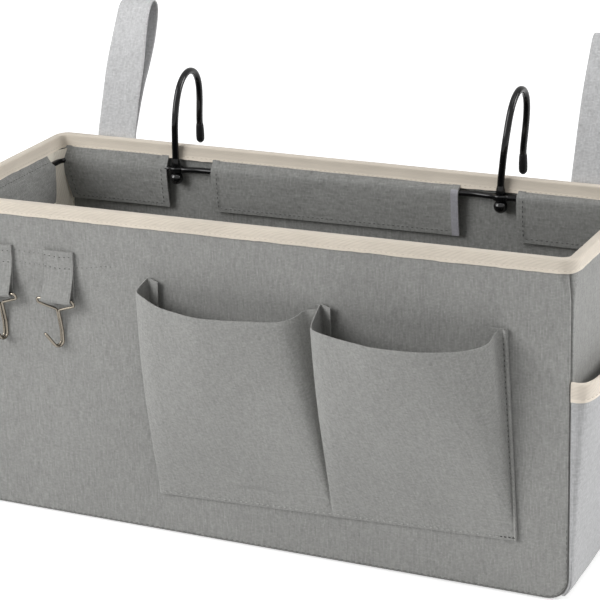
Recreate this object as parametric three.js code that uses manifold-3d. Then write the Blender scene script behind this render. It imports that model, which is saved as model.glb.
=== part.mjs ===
// Bedside caddy: a lined fabric box with bound rim, bellows pockets, key hooks and swivelling hanger hooks.
// Millimetres, +Z up, +X to the right, +Y to the back. The origin is the middle of the base.
import * as THREE from 'three';
import { mergeVertices } from 'three/addons/utils/BufferGeometryUtils.js';
import Module from 'manifold-3d';

const wasm = await Module();
wasm.setup();

// Overall box
const BOX_WIDTH = 400;
const BOX_DEPTH = 144;
const BOX_HEIGHT = 200;
const EDGE_RADIUS = 6; // seams between the front or back panel and the gusset
const BASE_RADIUS = 15; // where the gusset turns from a side into the base

// Plies of the wall, from the outside in
const CLEARANCE = 0.3; // between pieces that are sewn or seated together
const PLY_GAP = 0.25;
const OUTER_T = 1;
const BOARD_T = 1.5;
const LINING_T = 0.8;
const BOARD_MARGIN = 1; // from a board's edge to the curve of the seam
const SEAM_TAPE_T = 0.6;
const SEAM_TAPE_WIDTH = 7;

// Rim binding
const TAPE_T = 0.75;
const BINDING_DROP = 8;
const BINDING_CROWN = 1.6; // rounding of the folded tape along the rim

// Wire frame inside the rim
const ROD_D = 4;
const ROD_BEND_RADIUS = 6;
const ROD_DROP = 12; // from the top of the rim to the rod's centre
const ROD_INSET = 4.4; // from the lining to the rod's centre
const EYE_WIDTH = 11; // along the rod
const EYE_DEPTH = 8;
const EYE_T = 3.6;

// Fabric sleeves that hold the rod against the lining
const SLEEVE_T = 0.8;
const SLEEVE_DROP = 40.5; // from the top of the rim to the sleeve's lower edge
const MIDDLE_SLEEVE_WIDTH = 170;
const OUTER_SLEEVE_X = 118; // inner end of the left and right back sleeves

// Hanger hooks, which swivel in the eyes of the rod
const HOOK_X = 110;
const HOOK_WIRE_D = 3.6;
const HOOK_REACH = 33; // from the shank's centre to the tip's centre
const HOOK_RISE = 47.6; // from the top of the rim to the wire's centre at the top of the bend
// Side view of the bend between the straight shank and the straight tip, in shares of the reach and the rise
const HOOK_BEND = [
  [0, 0.1], [0.005, 0.32], [0.045, 0.51], [0.125, 0.69], [0.24, 0.84], [0.39, 0.945], [0.57, 1],
  [0.73, 0.995], [0.875, 0.945], [0.98, 0.845], [1.03, 0.71], [1.035, 0.54], [1.015, 0.38], [1, 0.25],
];
const HOOK_TIP_DROP = 3.5; // tip of the wire below the top of the rim
const HOOK_TURN_RIGHT = 4; // degrees, as the right hook stands turned
const SHOULDER_D = 6.4;
const SHOULDER_T = 1.6;
const BALL_D = 8;
const BALL_BORE_DEPTH = 5;
const CAP_D = 5.6;
const CAP_LENGTH = 12.6;
const CAP_END_T = 1.4;

// Front bellows pockets
const POCKET_LEFT_X = -58;
const POCKET_WIDTH = 110;
const POCKET_GAP = 3.5; // between the two pockets' seams
const POCKET_BASE_Z = 26;
const POCKET_BASE_RISE = 8; // the stitched bottoms slant up from the left seam to the far right one
const POCKET_TOP_Z = 161;
const POCKET_T = 1;
const POCKET_FLAP = 10; // sewn edge that turns in behind the front fold
const POCKET_LIP_SAG = 9; // middle of the lip below its sewn ends
// How far each lip stands off the panel at its left fold, its middle and its right fold, how far the right
// fold is drawn in from its seam, and how much wider the pocket is at its bottom and narrower at its lip
const POCKETS = {
  left: { leftFold: 13, bow: 25, rightFold: 19, tuck: 17, flare: 0 },
  right: { leftFold: 21, bow: 32, rightFold: 25, tuck: 14, flare: 3 },
};

// Side pockets
const SIDE_POCKET_TOP_Z = 132;
const SIDE_POCKET_T = 1;
const SIDE_POCKET_BOW = 11;
const SIDE_BINDING_DROP = 11;

// Key tabs and their wire hooks
const TAB_X = [-161, -117.5];
const TAB_WIDTH = 20;
const TAB_T = 0.9;
const TAB_DROP = 27; // from the top of the rim to the tab's upper end
const TAB_SEWN = 12; // below this the two plies part round the wire
const TAB_LENGTH = 32.1;
const KEY_WIRE_D = 1.8;
const KEY_STANDOFF = 6.2; // from the panel to the crossbar's centre in the loose fold of the tab
const KEY_SLIDE = -0.8; // the hook hangs a little to the left in its tab
const KEY_WING = 12; // from the middle to the centre of the side leg
const KEY_LEG = 3.4;
const KEY_WING_DROP = 7.2;
const KEY_WING_BEND = 1.1; // radius where the side leg turns in to the shank
const KEY_LENGTH = 30.5;
const KEY_CURL = 11; // width of the J between wire centres
const KEY_TIP_RISE = 10;
const KEY_TURN = 32; // degrees that the J is turned to the left about its shank
const KEY_WIRE_GAP = 0.4; // between the two wires of the shank and at the butt joint
const KEY_TILT = 10; // degrees that the hook leans back onto the panel

// Webbing straps
const STRAP_X = [-158, 164.5];
const STRAP_WIDTH = 27.5;
const STRAP_T = 1.2;
const STRAP_RISE = 83; // above the rim
const STRAP_LEAN = 40; // how far the top leans behind the back panel
const STRAP_LOOP = 12; // widest gap between the plies
const STRAP_ANCHOR_HEIGHT = 32;

// Levels and faces that several pieces share
const WALL_T = OUTER_T + PLY_GAP + BOARD_T + PLY_GAP + LINING_T;
const WALL_TOP = BOX_HEIGHT - TAPE_T - PLY_GAP;
const HALF_W = BOX_WIDTH / 2;
const HALF_D = BOX_DEPTH / 2;
const LINING_X = HALF_W - WALL_T;
const LINING_Y = HALF_D - WALL_T;
const ROD_Z = BOX_HEIGHT - ROD_DROP;
const ROD_X = LINING_X - ROD_INSET;
const ROD_Y = LINING_Y - ROD_INSET;
const BINDING_EDGE_Z = BOX_HEIGHT - BINDING_DROP;
const BINDING_OUT = PLY_GAP + TAPE_T; // how far the binding stands proud of the wall
const ROUND_SIDES = 16;
const FAR = 2 * (BOX_WIDTH + BOX_DEPTH + BOX_HEIGHT); // reaches past everything, for cutting blocks

// Finishes: colour, roughness, metalness
const FINISHES = {
  linen: [0x969693, 0.95, 0],
  pocketLinen: [0x9c9c98, 0.95, 0],
  liningLinen: [0x858682, 0.95, 0],
  board: [0x8a7f70, 0.9, 0],
  tape: [0xd6cebf, 0.9, 0],
  webbing: [0xb9babb, 0.95, 0],
  blackSteel: [0x0b0b0c, 0.25, 0.6],
  rubber: [0x121213, 0.65, 0],
  nickel: [0xc4beb4, 0.28, 1],
};

const caddy = new THREE.Group();

function addMesh(name, geometry, finish, parent = caddy) {
  const [color, roughness, metalness] = FINISHES[finish];
  const mesh = new THREE.Mesh(geometry, new THREE.MeshStandardMaterial({ color, roughness, metalness }));
  mesh.name = name;
  parent.add(mesh);
  return mesh;
}

// Joining and cutting

function toSolid(geometry) {
  const bare = geometry.index ? geometry.toNonIndexed() : geometry.clone();
  bare.deleteAttribute('normal');
  bare.deleteAttribute('uv');
  const merged = mergeVertices(bare, 1e-4);
  return new wasm.Manifold(new wasm.Mesh({
    numProp: 3,
    vertProperties: new Float32Array(merged.attributes.position.array),
    triVerts: new Uint32Array(merged.index.array),
  }));
}

function toGeometry(solid) {
  const { vertProperties, triVerts } = solid.getMesh();
  const geometry = new THREE.BufferGeometry();
  geometry.setAttribute('position', new THREE.BufferAttribute(new Float32Array(vertProperties), 3));
  geometry.setIndex(new THREE.BufferAttribute(new Uint32Array(triVerts), 1));
  return geometry;
}

function block([x0, x1], [y0, y1], [z0, z1]) {
  const geometry = new THREE.BoxGeometry(x1 - x0, y1 - y0, z1 - z0);
  return geometry.translate((x0 + x1) / 2, (y0 + y1) / 2, (z0 + z1) / 2);
}

const blockSolid = (x, y, z) => toSolid(block(x, y, z));

// Sweeps and lofts

// Closed body through rings of equal, even length, which run counter-clockwise seen against the travel.
// An end is capped by strips between opposite points, which suits a round section and a ribbon alike.
function loft(rings, closed = false) {
  const count = rings[0].length;
  const positions = rings.flat().flatMap((p) => [p.x, p.y, p.z]);
  const index = [];
  const spans = closed ? rings.length : rings.length - 1;
  for (let r = 0; r < spans; r += 1) {
    const near = r * count;
    const far = ((r + 1) % rings.length) * count;
    for (let i = 0; i < count; i += 1) {
      const j = (i + 1) % count;
      index.push(near + i, near + j, far + j, near + i, far + j, far + i);
    }
  }
  const last = (rings.length - 1) * count;
  for (let i = 0; !closed && i < count / 2 - 1; i += 1) {
    const [a, b, c, d] = [i, i + 1, count - 2 - i, count - 1 - i];
    index.push(a, d, c, a, c, b);
    index.push(last + a, last + b, last + c, last + a, last + c, last + d);
  }
  const geometry = new THREE.BufferGeometry();
  geometry.setAttribute('position', new THREE.Float32BufferAttribute(positions, 3));
  geometry.setIndex(index);
  return geometry;
}

// Points of a bent wire: straight runs joined by arcs. Each corner is [x, y, z, bend radius].
function bentWire(corners, arcSteps, closed = false) {
  const points = [];
  const last = corners.length - 1;
  corners.forEach(([x, y, z, radius], i) => {
    const corner = new THREE.Vector3(x, y, z);
    if (!closed && (i === 0 || i === last)) {
      points.push(corner);
      return;
    }
    const before = new THREE.Vector3(...corners[i === 0 ? last : i - 1]).sub(corner).normalize();
    const after = new THREE.Vector3(...corners[i === last ? 0 : i + 1]).sub(corner).normalize();
    const half = before.angleTo(after) / 2;
    const middle = before.clone().add(after).normalize();
    const centre = corner.clone().addScaledVector(middle, radius / Math.sin(half));
    const start = corner.clone().addScaledVector(before, radius / Math.tan(half)).sub(centre);
    const axis = new THREE.Vector3().crossVectors(after, before).normalize();
    for (let s = 0; s <= arcSteps; s += 1) {
      const turn = ((Math.PI - 2 * half) * s) / arcSteps;
      points.push(start.clone().applyAxisAngle(axis, turn).add(centre));
    }
  });
  return points;
}

// Round wire along points, with the section carried along without twist
function wire(points, diameter, sides, closed = false) {
  const count = points.length;
  const tangents = points.map((p, i) => {
    const next = points[closed ? (i + 1) % count : Math.min(i + 1, count - 1)];
    const previous = points[closed ? (i + count - 1) % count : Math.max(i - 1, 0)];
    return next.clone().sub(previous).normalize();
  });
  const first = tangents[0];
  const reference = Math.abs(first.z) < 0.9 ? new THREE.Vector3(0, 0, 1) : new THREE.Vector3(1, 0, 0);
  let normal = reference.clone().addScaledVector(first, -reference.dot(first)).normalize();
  const rings = points.map((p, i) => {
    if (i > 0) {
      normal = normal.clone().applyQuaternion(
        new THREE.Quaternion().setFromUnitVectors(tangents[i - 1], tangents[i]),
      );
    }
    const binormal = new THREE.Vector3().crossVectors(tangents[i], normal);
    return Array.from({ length: sides }, (_, s) => {
      const angle = (2 * Math.PI * (s + 0.5)) / sides;
      return p.clone()
        .addScaledVector(normal, (diameter / 2) * Math.cos(angle))
        .addScaledVector(binormal, (diameter / 2) * Math.sin(angle));
    });
  });
  return loft(rings, closed);
}

// The two sides of a ribbon of even thickness along a flat line of points, left side first
function ribbonSides(line, thickness) {
  const sides = [[], []];
  line.forEach((p, i) => {
    const into = p.clone().sub(line[Math.max(i - 1, 0)]).normalize();
    const out = line[Math.min(i + 1, line.length - 1)].clone().sub(p).normalize();
    const first = i === 0 ? out : into;
    const second = i === line.length - 1 ? into : out;
    const normal = new THREE.Vector2(-first.y - second.y, first.x + second.x).normalize();
    const mitre = Math.max(normal.dot(new THREE.Vector2(-first.y, first.x)), 0.5);
    sides[0].push(p.clone().addScaledVector(normal, thickness / 2 / mitre));
    sides[1].push(p.clone().addScaledVector(normal, -thickness / 2 / mitre));
  });
  return sides;
}

function ribbonShape(line, thickness) {
  const [left, right] = ribbonSides(line, thickness);
  return new THREE.Shape([...right, ...left.reverse()]);
}

// Shape drawn in Y and Z, as wide as `width` along X about `x`
function extrudeAlongX(shape, x, width) {
  const geometry = new THREE.ExtrudeGeometry(shape, { depth: width, bevelEnabled: false, curveSegments: 4 });
  const drawnToWorld = new THREE.Matrix4().makeBasis(
    new THREE.Vector3(0, 1, 0), new THREE.Vector3(0, 0, 1), new THREE.Vector3(1, 0, 0),
  );
  return geometry.applyMatrix4(drawnToWorld).translate(x - width / 2, 0, 0);
}

// Shape drawn in X and Z, from `y` back to `y + depth`
function extrudeAlongY(shape, y, depth) {
  const geometry = new THREE.ExtrudeGeometry(shape, { depth, bevelEnabled: false, curveSegments: 3 });
  return geometry.rotateX(Math.PI / 2).translate(0, y + depth, 0);
}

const v2 = (x, y) => new THREE.Vector2(x, y);
const smooth = (t) => THREE.MathUtils.smoothstep(t, 0, 1);

// The box: nested rounded boxes cut into the panels that are sewn together

// Front outline of the box, set in from its sides and base, open upwards to `top`
function frontOutline(inset, top) {
  const radius = BASE_RADIUS - inset;
  const x = HALF_W - inset;
  const shape = new THREE.Shape();
  shape.moveTo(x, inset + radius);
  shape.lineTo(x, top);
  shape.lineTo(-x, top);
  shape.lineTo(-x, inset + radius);
  shape.absarc(-x + radius, inset + radius, radius, Math.PI, 1.5 * Math.PI, false);
  shape.absarc(x - radius, inset + radius, radius, 1.5 * Math.PI, 2 * Math.PI, false);
  return shape;
}

// Solid box whose faces lie `inset` inside the outer faces
function roundedBox(inset) {
  const round = EDGE_RADIUS - inset;
  const geometry = new THREE.ExtrudeGeometry(frontOutline(EDGE_RADIUS, 2 * BOX_HEIGHT), {
    depth: BOX_DEPTH - 2 * EDGE_RADIUS,
    bevelThickness: round,
    bevelSize: round,
    bevelSegments: 4,
    curveSegments: 3,
  });
  geometry.rotateX(Math.PI / 2).translate(0, HALF_D - EDGE_RADIUS, 0);
  return toSolid(geometry);
}

function boxShell(inset, thickness, top) {
  const tall = roundedBox(inset).subtract(roundedBox(inset + thickness));
  return tall.intersect(blockSolid([-FAR, FAR], [-FAR, FAR], [-FAR, top]));
}

// Front panel, gusset and back panel of a shell, parted at the seams `seamY` from the middle
function partShell(shell, seamY) {
  const near = seamY - CLEARANCE / 2;
  const far = seamY + CLEARANCE / 2;
  return {
    front: shell.intersect(blockSolid([-FAR, FAR], [-FAR, -far], [-FAR, FAR])),
    gusset: shell.intersect(blockSolid([-FAR, FAR], [-near, near], [-FAR, FAR])),
    back: shell.intersect(blockSolid([-FAR, FAR], [far, FAR], [-FAR, FAR])),
  };
}

function addOuterPanels() {
  const seamY = HALF_D - EDGE_RADIUS * (1 - Math.SQRT1_2);
  const outer = partShell(boxShell(0, OUTER_T, WALL_TOP), seamY);
  addMesh('front_panel', toGeometry(outer.front), 'linen');
  addMesh('back_panel', toGeometry(outer.back), 'linen');
  addMesh('gusset_strip', toGeometry(outer.gusset), 'linen');
}

function addBoards() {
  const inset = OUTER_T + PLY_GAP;
  const edge = EDGE_RADIUS + BOARD_MARGIN;
  const acrossY = HALF_D - edge;
  const face = frontOutline(edge, WALL_TOP);
  addMesh('front_board', extrudeAlongY(face, -HALF_D + inset, BOARD_T), 'board');
  addMesh('back_board', extrudeAlongY(face, HALF_D - inset - BOARD_T, BOARD_T), 'board');
  const side = [HALF_W - inset - BOARD_T, HALF_W - inset];
  const sideZ = [BASE_RADIUS + BOARD_MARGIN, WALL_TOP];
  addMesh('right_board', block(side, [-acrossY, acrossY], sideZ), 'board');
  addMesh('left_board', block([-side[1], -side[0]], [-acrossY, acrossY], sideZ), 'board');
  const baseX = HALF_W - BASE_RADIUS - BOARD_MARGIN;
  addMesh('base_board', block([-baseX, baseX], [-acrossY, acrossY], [inset, inset + BOARD_T]), 'board');
}

function addLinings() {
  const lining = partShell(boxShell(WALL_T - LINING_T, LINING_T, WALL_TOP), LINING_Y - CLEARANCE);
  addMesh('front_lining', toGeometry(lining.front), 'liningLinen');
  addMesh('back_lining', toGeometry(lining.back), 'liningLinen');
  addMesh('lining_gusset', toGeometry(lining.gusset), 'liningLinen');
}

// Tape bound over the lining's seam, down one corner, along the floor and up the other
function addSeamTapes() {
  const inset = WALL_T + PLY_GAP;
  const top = BINDING_EDGE_Z - CLEARANCE;
  const shell = boxShell(inset, SEAM_TAPE_T, top);
  const strip = HALF_D - inset - SEAM_TAPE_WIDTH;
  const window = toSolid(extrudeAlongY(frontOutline(inset + SEAM_TAPE_WIDTH, FAR), -FAR, 2 * FAR));
  const edging = shell.subtract(window);
  const back = edging.intersect(blockSolid([-FAR, FAR], [strip, FAR], [-FAR, FAR]));
  const front = edging.intersect(blockSolid([-FAR, FAR], [-FAR, -strip], [-FAR, FAR]));
  addMesh('seam_tape_back', toGeometry(back), 'tape');
  addMesh('seam_tape_front', toGeometry(front), 'tape');
}

// Section of a folded tape over an edge: `out` is across the edge, `up` is height
function foldedTape(outside, inside, top, drop, crown) {
  const shape = new THREE.Path();
  shape.moveTo(outside, top - drop);
  shape.lineTo(outside, top - crown);
  shape.absarc(outside - crown, top - crown, crown, 0, Math.PI / 2, false);
  shape.absarc(inside + crown, top - crown, crown, Math.PI / 2, Math.PI, false);
  shape.lineTo(inside, top - drop);
  shape.lineTo(inside + TAPE_T, top - drop);
  const innerCrown = crown - TAPE_T;
  shape.lineTo(inside + TAPE_T, top - crown);
  shape.absarc(inside + crown, top - crown, innerCrown, Math.PI, Math.PI / 2, true);
  shape.absarc(outside - crown, top - crown, innerCrown, Math.PI / 2, 0, true);
  shape.lineTo(outside - TAPE_T, top - drop);
  return shape.getPoints(2);
}

// Twill tape folded over the rim of the whole box
function addRimBinding() {
  const section = foldedTape(BINDING_OUT, -WALL_T - BINDING_OUT, BOX_HEIGHT, BINDING_DROP, BINDING_CROWN);
  const stations = [];
  const cornerSteps = 4;
  for (let corner = 0; corner < 4; corner += 1) {
    const x = (HALF_W - EDGE_RADIUS) * (corner === 0 || corner === 3 ? 1 : -1);
    const y = (HALF_D - EDGE_RADIUS) * (corner < 2 ? 1 : -1);
    for (let s = 0; s <= cornerSteps; s += 1) {
      const angle = (Math.PI / 2) * (corner + s / cornerSteps);
      stations.push({ x, y, outX: Math.cos(angle), outY: Math.sin(angle) });
    }
  }
  const rings = stations.map(({ x, y, outX, outY }) => section.map((p) => {
    const reach = EDGE_RADIUS + p.x;
    return new THREE.Vector3(x + outX * reach, y + outY * reach, p.y);
  }));
  addMesh('rim_binding', loft(rings.reverse(), true), 'tape');
}

// Wire frame and its sleeves

// Upright round or oval post
function postSolid(x, y, [z0, z1], width, depth = width) {
  const geometry = new THREE.CylinderGeometry(0.5, 0.5, z1 - z0, ROUND_SIDES).rotateX(Math.PI / 2);
  return toSolid(geometry.scale(width, depth, 1).translate(x, y, (z0 + z1) / 2));
}

function addWireFrame() {
  const corners = [[1, 1], [-1, 1], [-1, -1], [1, -1]];
  const path = bentWire(corners.map(([x, y]) => [x * ROD_X, y * ROD_Y, ROD_Z, ROD_BEND_RADIUS]), 4, true);
  let frame = toSolid(wire(path, ROD_D, 10, true));
  for (const x of [-HOOK_X, HOOK_X]) {
    const eye = postSolid(x, ROD_Y, [ROD_Z - EYE_T / 2, ROD_Z + EYE_T / 2], EYE_WIDTH, EYE_DEPTH);
    const through = [ROD_Z - ROD_D, ROD_Z + ROD_D];
    const flattened = postSolid(x, ROD_Y, through, EYE_WIDTH - ROD_D, EYE_DEPTH);
    const hole = postSolid(x, ROD_Y, through, HOOK_WIRE_D + 2 * CLEARANCE);
    frame = frame.subtract(flattened).add(eye).subtract(hole);
  }
  addMesh('wire_frame', toGeometry(frame), 'blackSteel');
}

// Sleeve in section, on a wall whose lining lies `wall` from the middle: flat on the lining, out over
// the rod and back, then down to its stitched edge
function sleeveShape(wall) {
  const flat = wall - CLEARANCE - SLEEVE_T / 2;
  const over = ROD_D / 2 + CLEARANCE + SLEEVE_T / 2;
  const line = [v2(flat, BINDING_EDGE_Z - CLEARANCE - SLEEVE_T / 2)];
  const wrapStart = 100; // degrees up from straight inwards
  const wrapSweep = 170;
  const arcSteps = 6;
  for (let s = 0; s <= arcSteps; s += 1) {
    const angle = THREE.MathUtils.degToRad(wrapStart - (wrapSweep * s) / arcSteps);
    line.push(v2(wall - ROD_INSET - over * Math.cos(angle), ROD_Z + over * Math.sin(angle)));
  }
  line.push(v2(flat, ROD_Z - ROD_D - over));
  line.push(v2(flat, BOX_HEIGHT - SLEEVE_DROP));
  return ribbonShape(line, SLEEVE_T);
}

// Sleeve on the wall that lies `turn` degrees round from the back wall
function addSleeve(name, [from, to], wall, turn) {
  const geometry = extrudeAlongX(sleeveShape(wall), (from + to) / 2, to - from);
  addMesh(name, geometry.rotateZ(THREE.MathUtils.degToRad(turn)), 'liningLinen');
}

function addSleeves() {
  const endX = ROD_X - ROD_BEND_RADIUS;
  const endY = ROD_Y - ROD_BEND_RADIUS;
  const middle = MIDDLE_SLEEVE_WIDTH / 2;
  addSleeve('rod_sleeve_left', [-endX, -OUTER_SLEEVE_X], LINING_Y, 0);
  addSleeve('rod_sleeve_middle', [-middle, middle], LINING_Y, 0);
  addSleeve('rod_sleeve_right', [OUTER_SLEEVE_X, endX], LINING_Y, 0);
  addSleeve('rod_channel_left', [-endY, endY], LINING_X, 90);
  addSleeve('rod_channel_front', [-endX, endX], LINING_Y, 180);
  addSleeve('rod_channel_right', [-endY, endY], LINING_X, 270);
}

// Hanger hooks

function lathe(profile) {
  return new THREE.LatheGeometry(profile, ROUND_SIDES).rotateX(Math.PI / 2);
}

// Ball with a blind bore from the top for the end of the shank; z = 0 is its centre
function ballGeometry() {
  const radius = BALL_D / 2;
  const bore = HOOK_WIRE_D / 2 + CLEARANCE;
  const start = Math.acos(bore / radius);
  const profile = [];
  const steps = 8;
  for (let s = 0; s <= steps; s += 1) {
    const angle = -Math.PI / 2 + ((Math.PI / 2 + start) * s) / steps;
    profile.push(v2(s === 0 ? 0 : radius * Math.cos(angle), radius * Math.sin(angle)));
  }
  const floor = radius * Math.sin(start) - BALL_BORE_DEPTH;
  profile.push(v2(bore, floor), v2(0, floor));
  return lathe(profile);
}

// Rubber cap, open upwards; z = 0 is its rounded end
function capGeometry() {
  const radius = CAP_D / 2;
  const bore = HOOK_WIRE_D / 2 + CLEARANCE;
  const profile = [];
  const steps = 5;
  for (let s = 0; s <= steps; s += 1) {
    const angle = (Math.PI / 2) * (s / steps);
    profile.push(v2(radius * Math.sin(angle), radius * (1 - Math.cos(angle))));
  }
  profile.push(v2(radius, CAP_LENGTH), v2(bore, CAP_LENGTH), v2(bore, CAP_END_T), v2(0, CAP_END_T));
  return lathe(profile);
}

function addHangerHook(side, x, turn) {
  const group = new THREE.Group();
  group.position.set(x, ROD_Y, 0);
  group.rotation.z = THREE.MathUtils.degToRad(turn);
  caddy.add(group);
  const ballZ = ROD_Z - EYE_T / 2 - CLEARANCE - BALL_D / 2;
  const boreTop = Math.sqrt((BALL_D / 2) ** 2 - (HOOK_WIRE_D / 2 + CLEARANCE) ** 2);
  const shankEnd = ballZ + boreTop - BALL_BORE_DEPTH + CLEARANCE;
  const tip = BOX_HEIGHT - HOOK_TIP_DROP;
  const bend = new THREE.SplineCurve(HOOK_BEND.map(([out, up]) => (
    v2(out * HOOK_REACH, BOX_HEIGHT + up * HOOK_RISE)
  )));
  const path = [v2(0, shankEnd), ...bend.getPoints(26), v2(HOOK_REACH, tip)]
    .map((p) => new THREE.Vector3(0, p.x, p.y));
  const shoulderZ = ROD_Z + EYE_T / 2 + CLEARANCE;
  const shoulder = postSolid(0, 0, [shoulderZ, shoulderZ + SHOULDER_T], SHOULDER_D);
  const hook = toSolid(wire(path, HOOK_WIRE_D, 12)).add(shoulder);
  addMesh(`hanger_hook_${side}`, toGeometry(hook), 'blackSteel', group);
  addMesh(`hook_ball_${side}`, ballGeometry(), 'blackSteel', group).position.z = ballZ;
  const cap = addMesh(`hook_cap_${side}`, capGeometry(), 'rubber', group);
  cap.position.set(0, HOOK_REACH, tip - CLEARANCE - CAP_END_T);
}

// Front pockets

// One level of a pocket in plan: t is 0 at the stitched bottom and 1 at the lip.
// Points run from the left flap round the front to the right flap; y is the distance off the panel.
function pocketLine({ leftFold, bow, rightFold, tuck, flare }, t) {
  const open = (smooth(t) + 2 * t) / 3;
  const seam = CLEARANCE + POCKET_T; // leaves room for the crease, which points at the panel
  const folded = seam + POCKET_T + 2 * CLEARANCE; // the front lies on its own flap at the bottom
  const lift = (amount) => folded + (amount - folded) * open;
  const width = POCKET_WIDTH + flare * (1 - 2 * t);
  const drawn = THREE.MathUtils.lerp(4, tuck, open);
  const front = new THREE.SplineCurve([
    v2(0, lift(leftFold)),
    v2(width * 0.22, lift(THREE.MathUtils.lerp(leftFold, bow, 0.7))),
    v2(width * 0.48, lift(bow)),
    v2(width * 0.7, lift(THREE.MathUtils.lerp(rightFold, bow, 0.75))),
    v2(width - drawn, lift(rightFold)),
  ]);
  return [
    v2(POCKET_FLAP, seam + (leftFold / 2) * open),
    v2(0, seam),
    ...front.getPoints(16),
    v2(width - drawn * 0.62, lift(rightFold * 0.8)), // the right side rounds back to its seam
    v2(width - drawn * 0.36, lift(rightFold * 0.5)),
    v2(width, seam),
    v2(width - POCKET_FLAP, seam + (rightFold / 8) * open),
  ];
}

function addPocket(side, x) {
  const pocket = POCKETS[side];
  const slant = POCKET_BASE_RISE / (2 * POCKET_WIDTH + POCKET_GAP);
  const levels = 8;
  const rings = [];
  for (let row = 0; row <= levels; row += 1) {
    const t = row / levels;
    const line = pocketLine(pocket, t);
    const sides = ribbonSides(line, POCKET_T);
    const [left, right] = sides.map((points) => points.map((p, i) => {
      const sag = POCKET_LIP_SAG * (line[i].y / pocket.bow) * t; // the further out, the lower
      const base = POCKET_BASE_Z + slant * (x + p.x - POCKET_LEFT_X);
      return new THREE.Vector3(x + p.x, -HALF_D - p.y, THREE.MathUtils.lerp(base, POCKET_TOP_Z, t) - sag);
    }));
    rings.push([...left, ...right.reverse()]);
  }
  addMesh(`front_pocket_${side}`, loft(rings), 'pocketLinen');
}

// Side pockets: a panel on the gusset that stands off towards its bound top edge

// Distance of the pocket off the side wall
function sidePocketLift(y, z) {
  const across = Math.cos((Math.PI / 2) * (y / (HALF_D - EDGE_RADIUS)));
  const up = THREE.MathUtils.clamp((z - BASE_RADIUS) / (SIDE_POCKET_TOP_Z - BASE_RADIUS), 0, 1);
  const tapeRoom = (PLY_GAP + TAPE_T) * up; // for the inner leg of the binding
  return tapeRoom + SIDE_POCKET_BOW * Math.max(across, 0) ** 0.8 * up ** 1.3;
}

function sidePocketStations() {
  const count = 12;
  const reach = HALF_D - EDGE_RADIUS;
  return Array.from({ length: count + 1 }, (_, i) => -reach + (2 * reach * i) / count);
}

// Levels of the pocket from its bottom seam, half way round the base curve, up to its top edge
function sidePocketLevels() {
  const levels = [];
  const curveSteps = 3;
  for (let s = 0; s < curveSteps; s += 1) {
    const angle = (Math.PI / 4) * (1 - s / curveSteps);
    levels.push({ out: Math.cos(angle), up: -Math.sin(angle), z: BASE_RADIUS });
  }
  const rise = SIDE_POCKET_TOP_Z - SIDE_BINDING_DROP / 2 - BASE_RADIUS;
  const straightSteps = 6;
  for (let s = 0; s <= straightSteps; s += 1) {
    levels.push({ out: 1, up: 0, z: BASE_RADIUS + (rise * s) / straightSteps });
  }
  return levels;
}

function sidePocketGeometry() {
  const reach = (depth) => (level, y) => new THREE.Vector3(
    HALF_W - BASE_RADIUS + level.out * (BASE_RADIUS + depth) + sidePocketLift(y, level.z),
    y,
    level.z + level.up * (BASE_RADIUS + depth),
  );
  const inner = reach(CLEARANCE);
  const outer = reach(CLEARANCE + SIDE_POCKET_T);
  const levels = sidePocketLevels();
  const rings = sidePocketStations().map((y) => [
    ...levels.map((level) => outer(level, y)),
    ...levels.map((level) => inner(level, y)).reverse(),
  ]);
  return loft(rings.reverse());
}

function sideBindingGeometry() {
  const middle = CLEARANCE + SIDE_POCKET_T / 2;
  const half = SIDE_POCKET_T / 2 + PLY_GAP + TAPE_T;
  const section = foldedTape(half, -half, SIDE_POCKET_TOP_Z, SIDE_BINDING_DROP, half);
  const rings = sidePocketStations().map((y) => section.map((p) => (
    new THREE.Vector3(HALF_W + middle + sidePocketLift(y, p.y) + p.x, y, p.y)
  )));
  return loft(rings.reverse());
}

function addSidePockets() {
  for (const [side, turn] of [['right', 0], ['left', Math.PI]]) {
    addMesh(`side_pocket_${side}`, sidePocketGeometry().rotateZ(turn), 'webbing');
    addMesh(`side_pocket_binding_${side}`, sideBindingGeometry().rotateZ(turn), 'tape');
  }
}

// Key tabs and hooks

const TAB_TOP_Z = BOX_HEIGHT - TAB_DROP;
const TAB_EYE = KEY_WIRE_D / 2 + CLEARANCE; // radius of the fold's inside round the crossbar
const TAB_ROUND = TAB_EYE + TAB_T;
const KEY_AXIS_Y = -HALF_D - KEY_STANDOFF;
const KEY_AXIS_Z = TAB_TOP_Z - TAB_LENGTH + TAB_ROUND;

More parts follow.
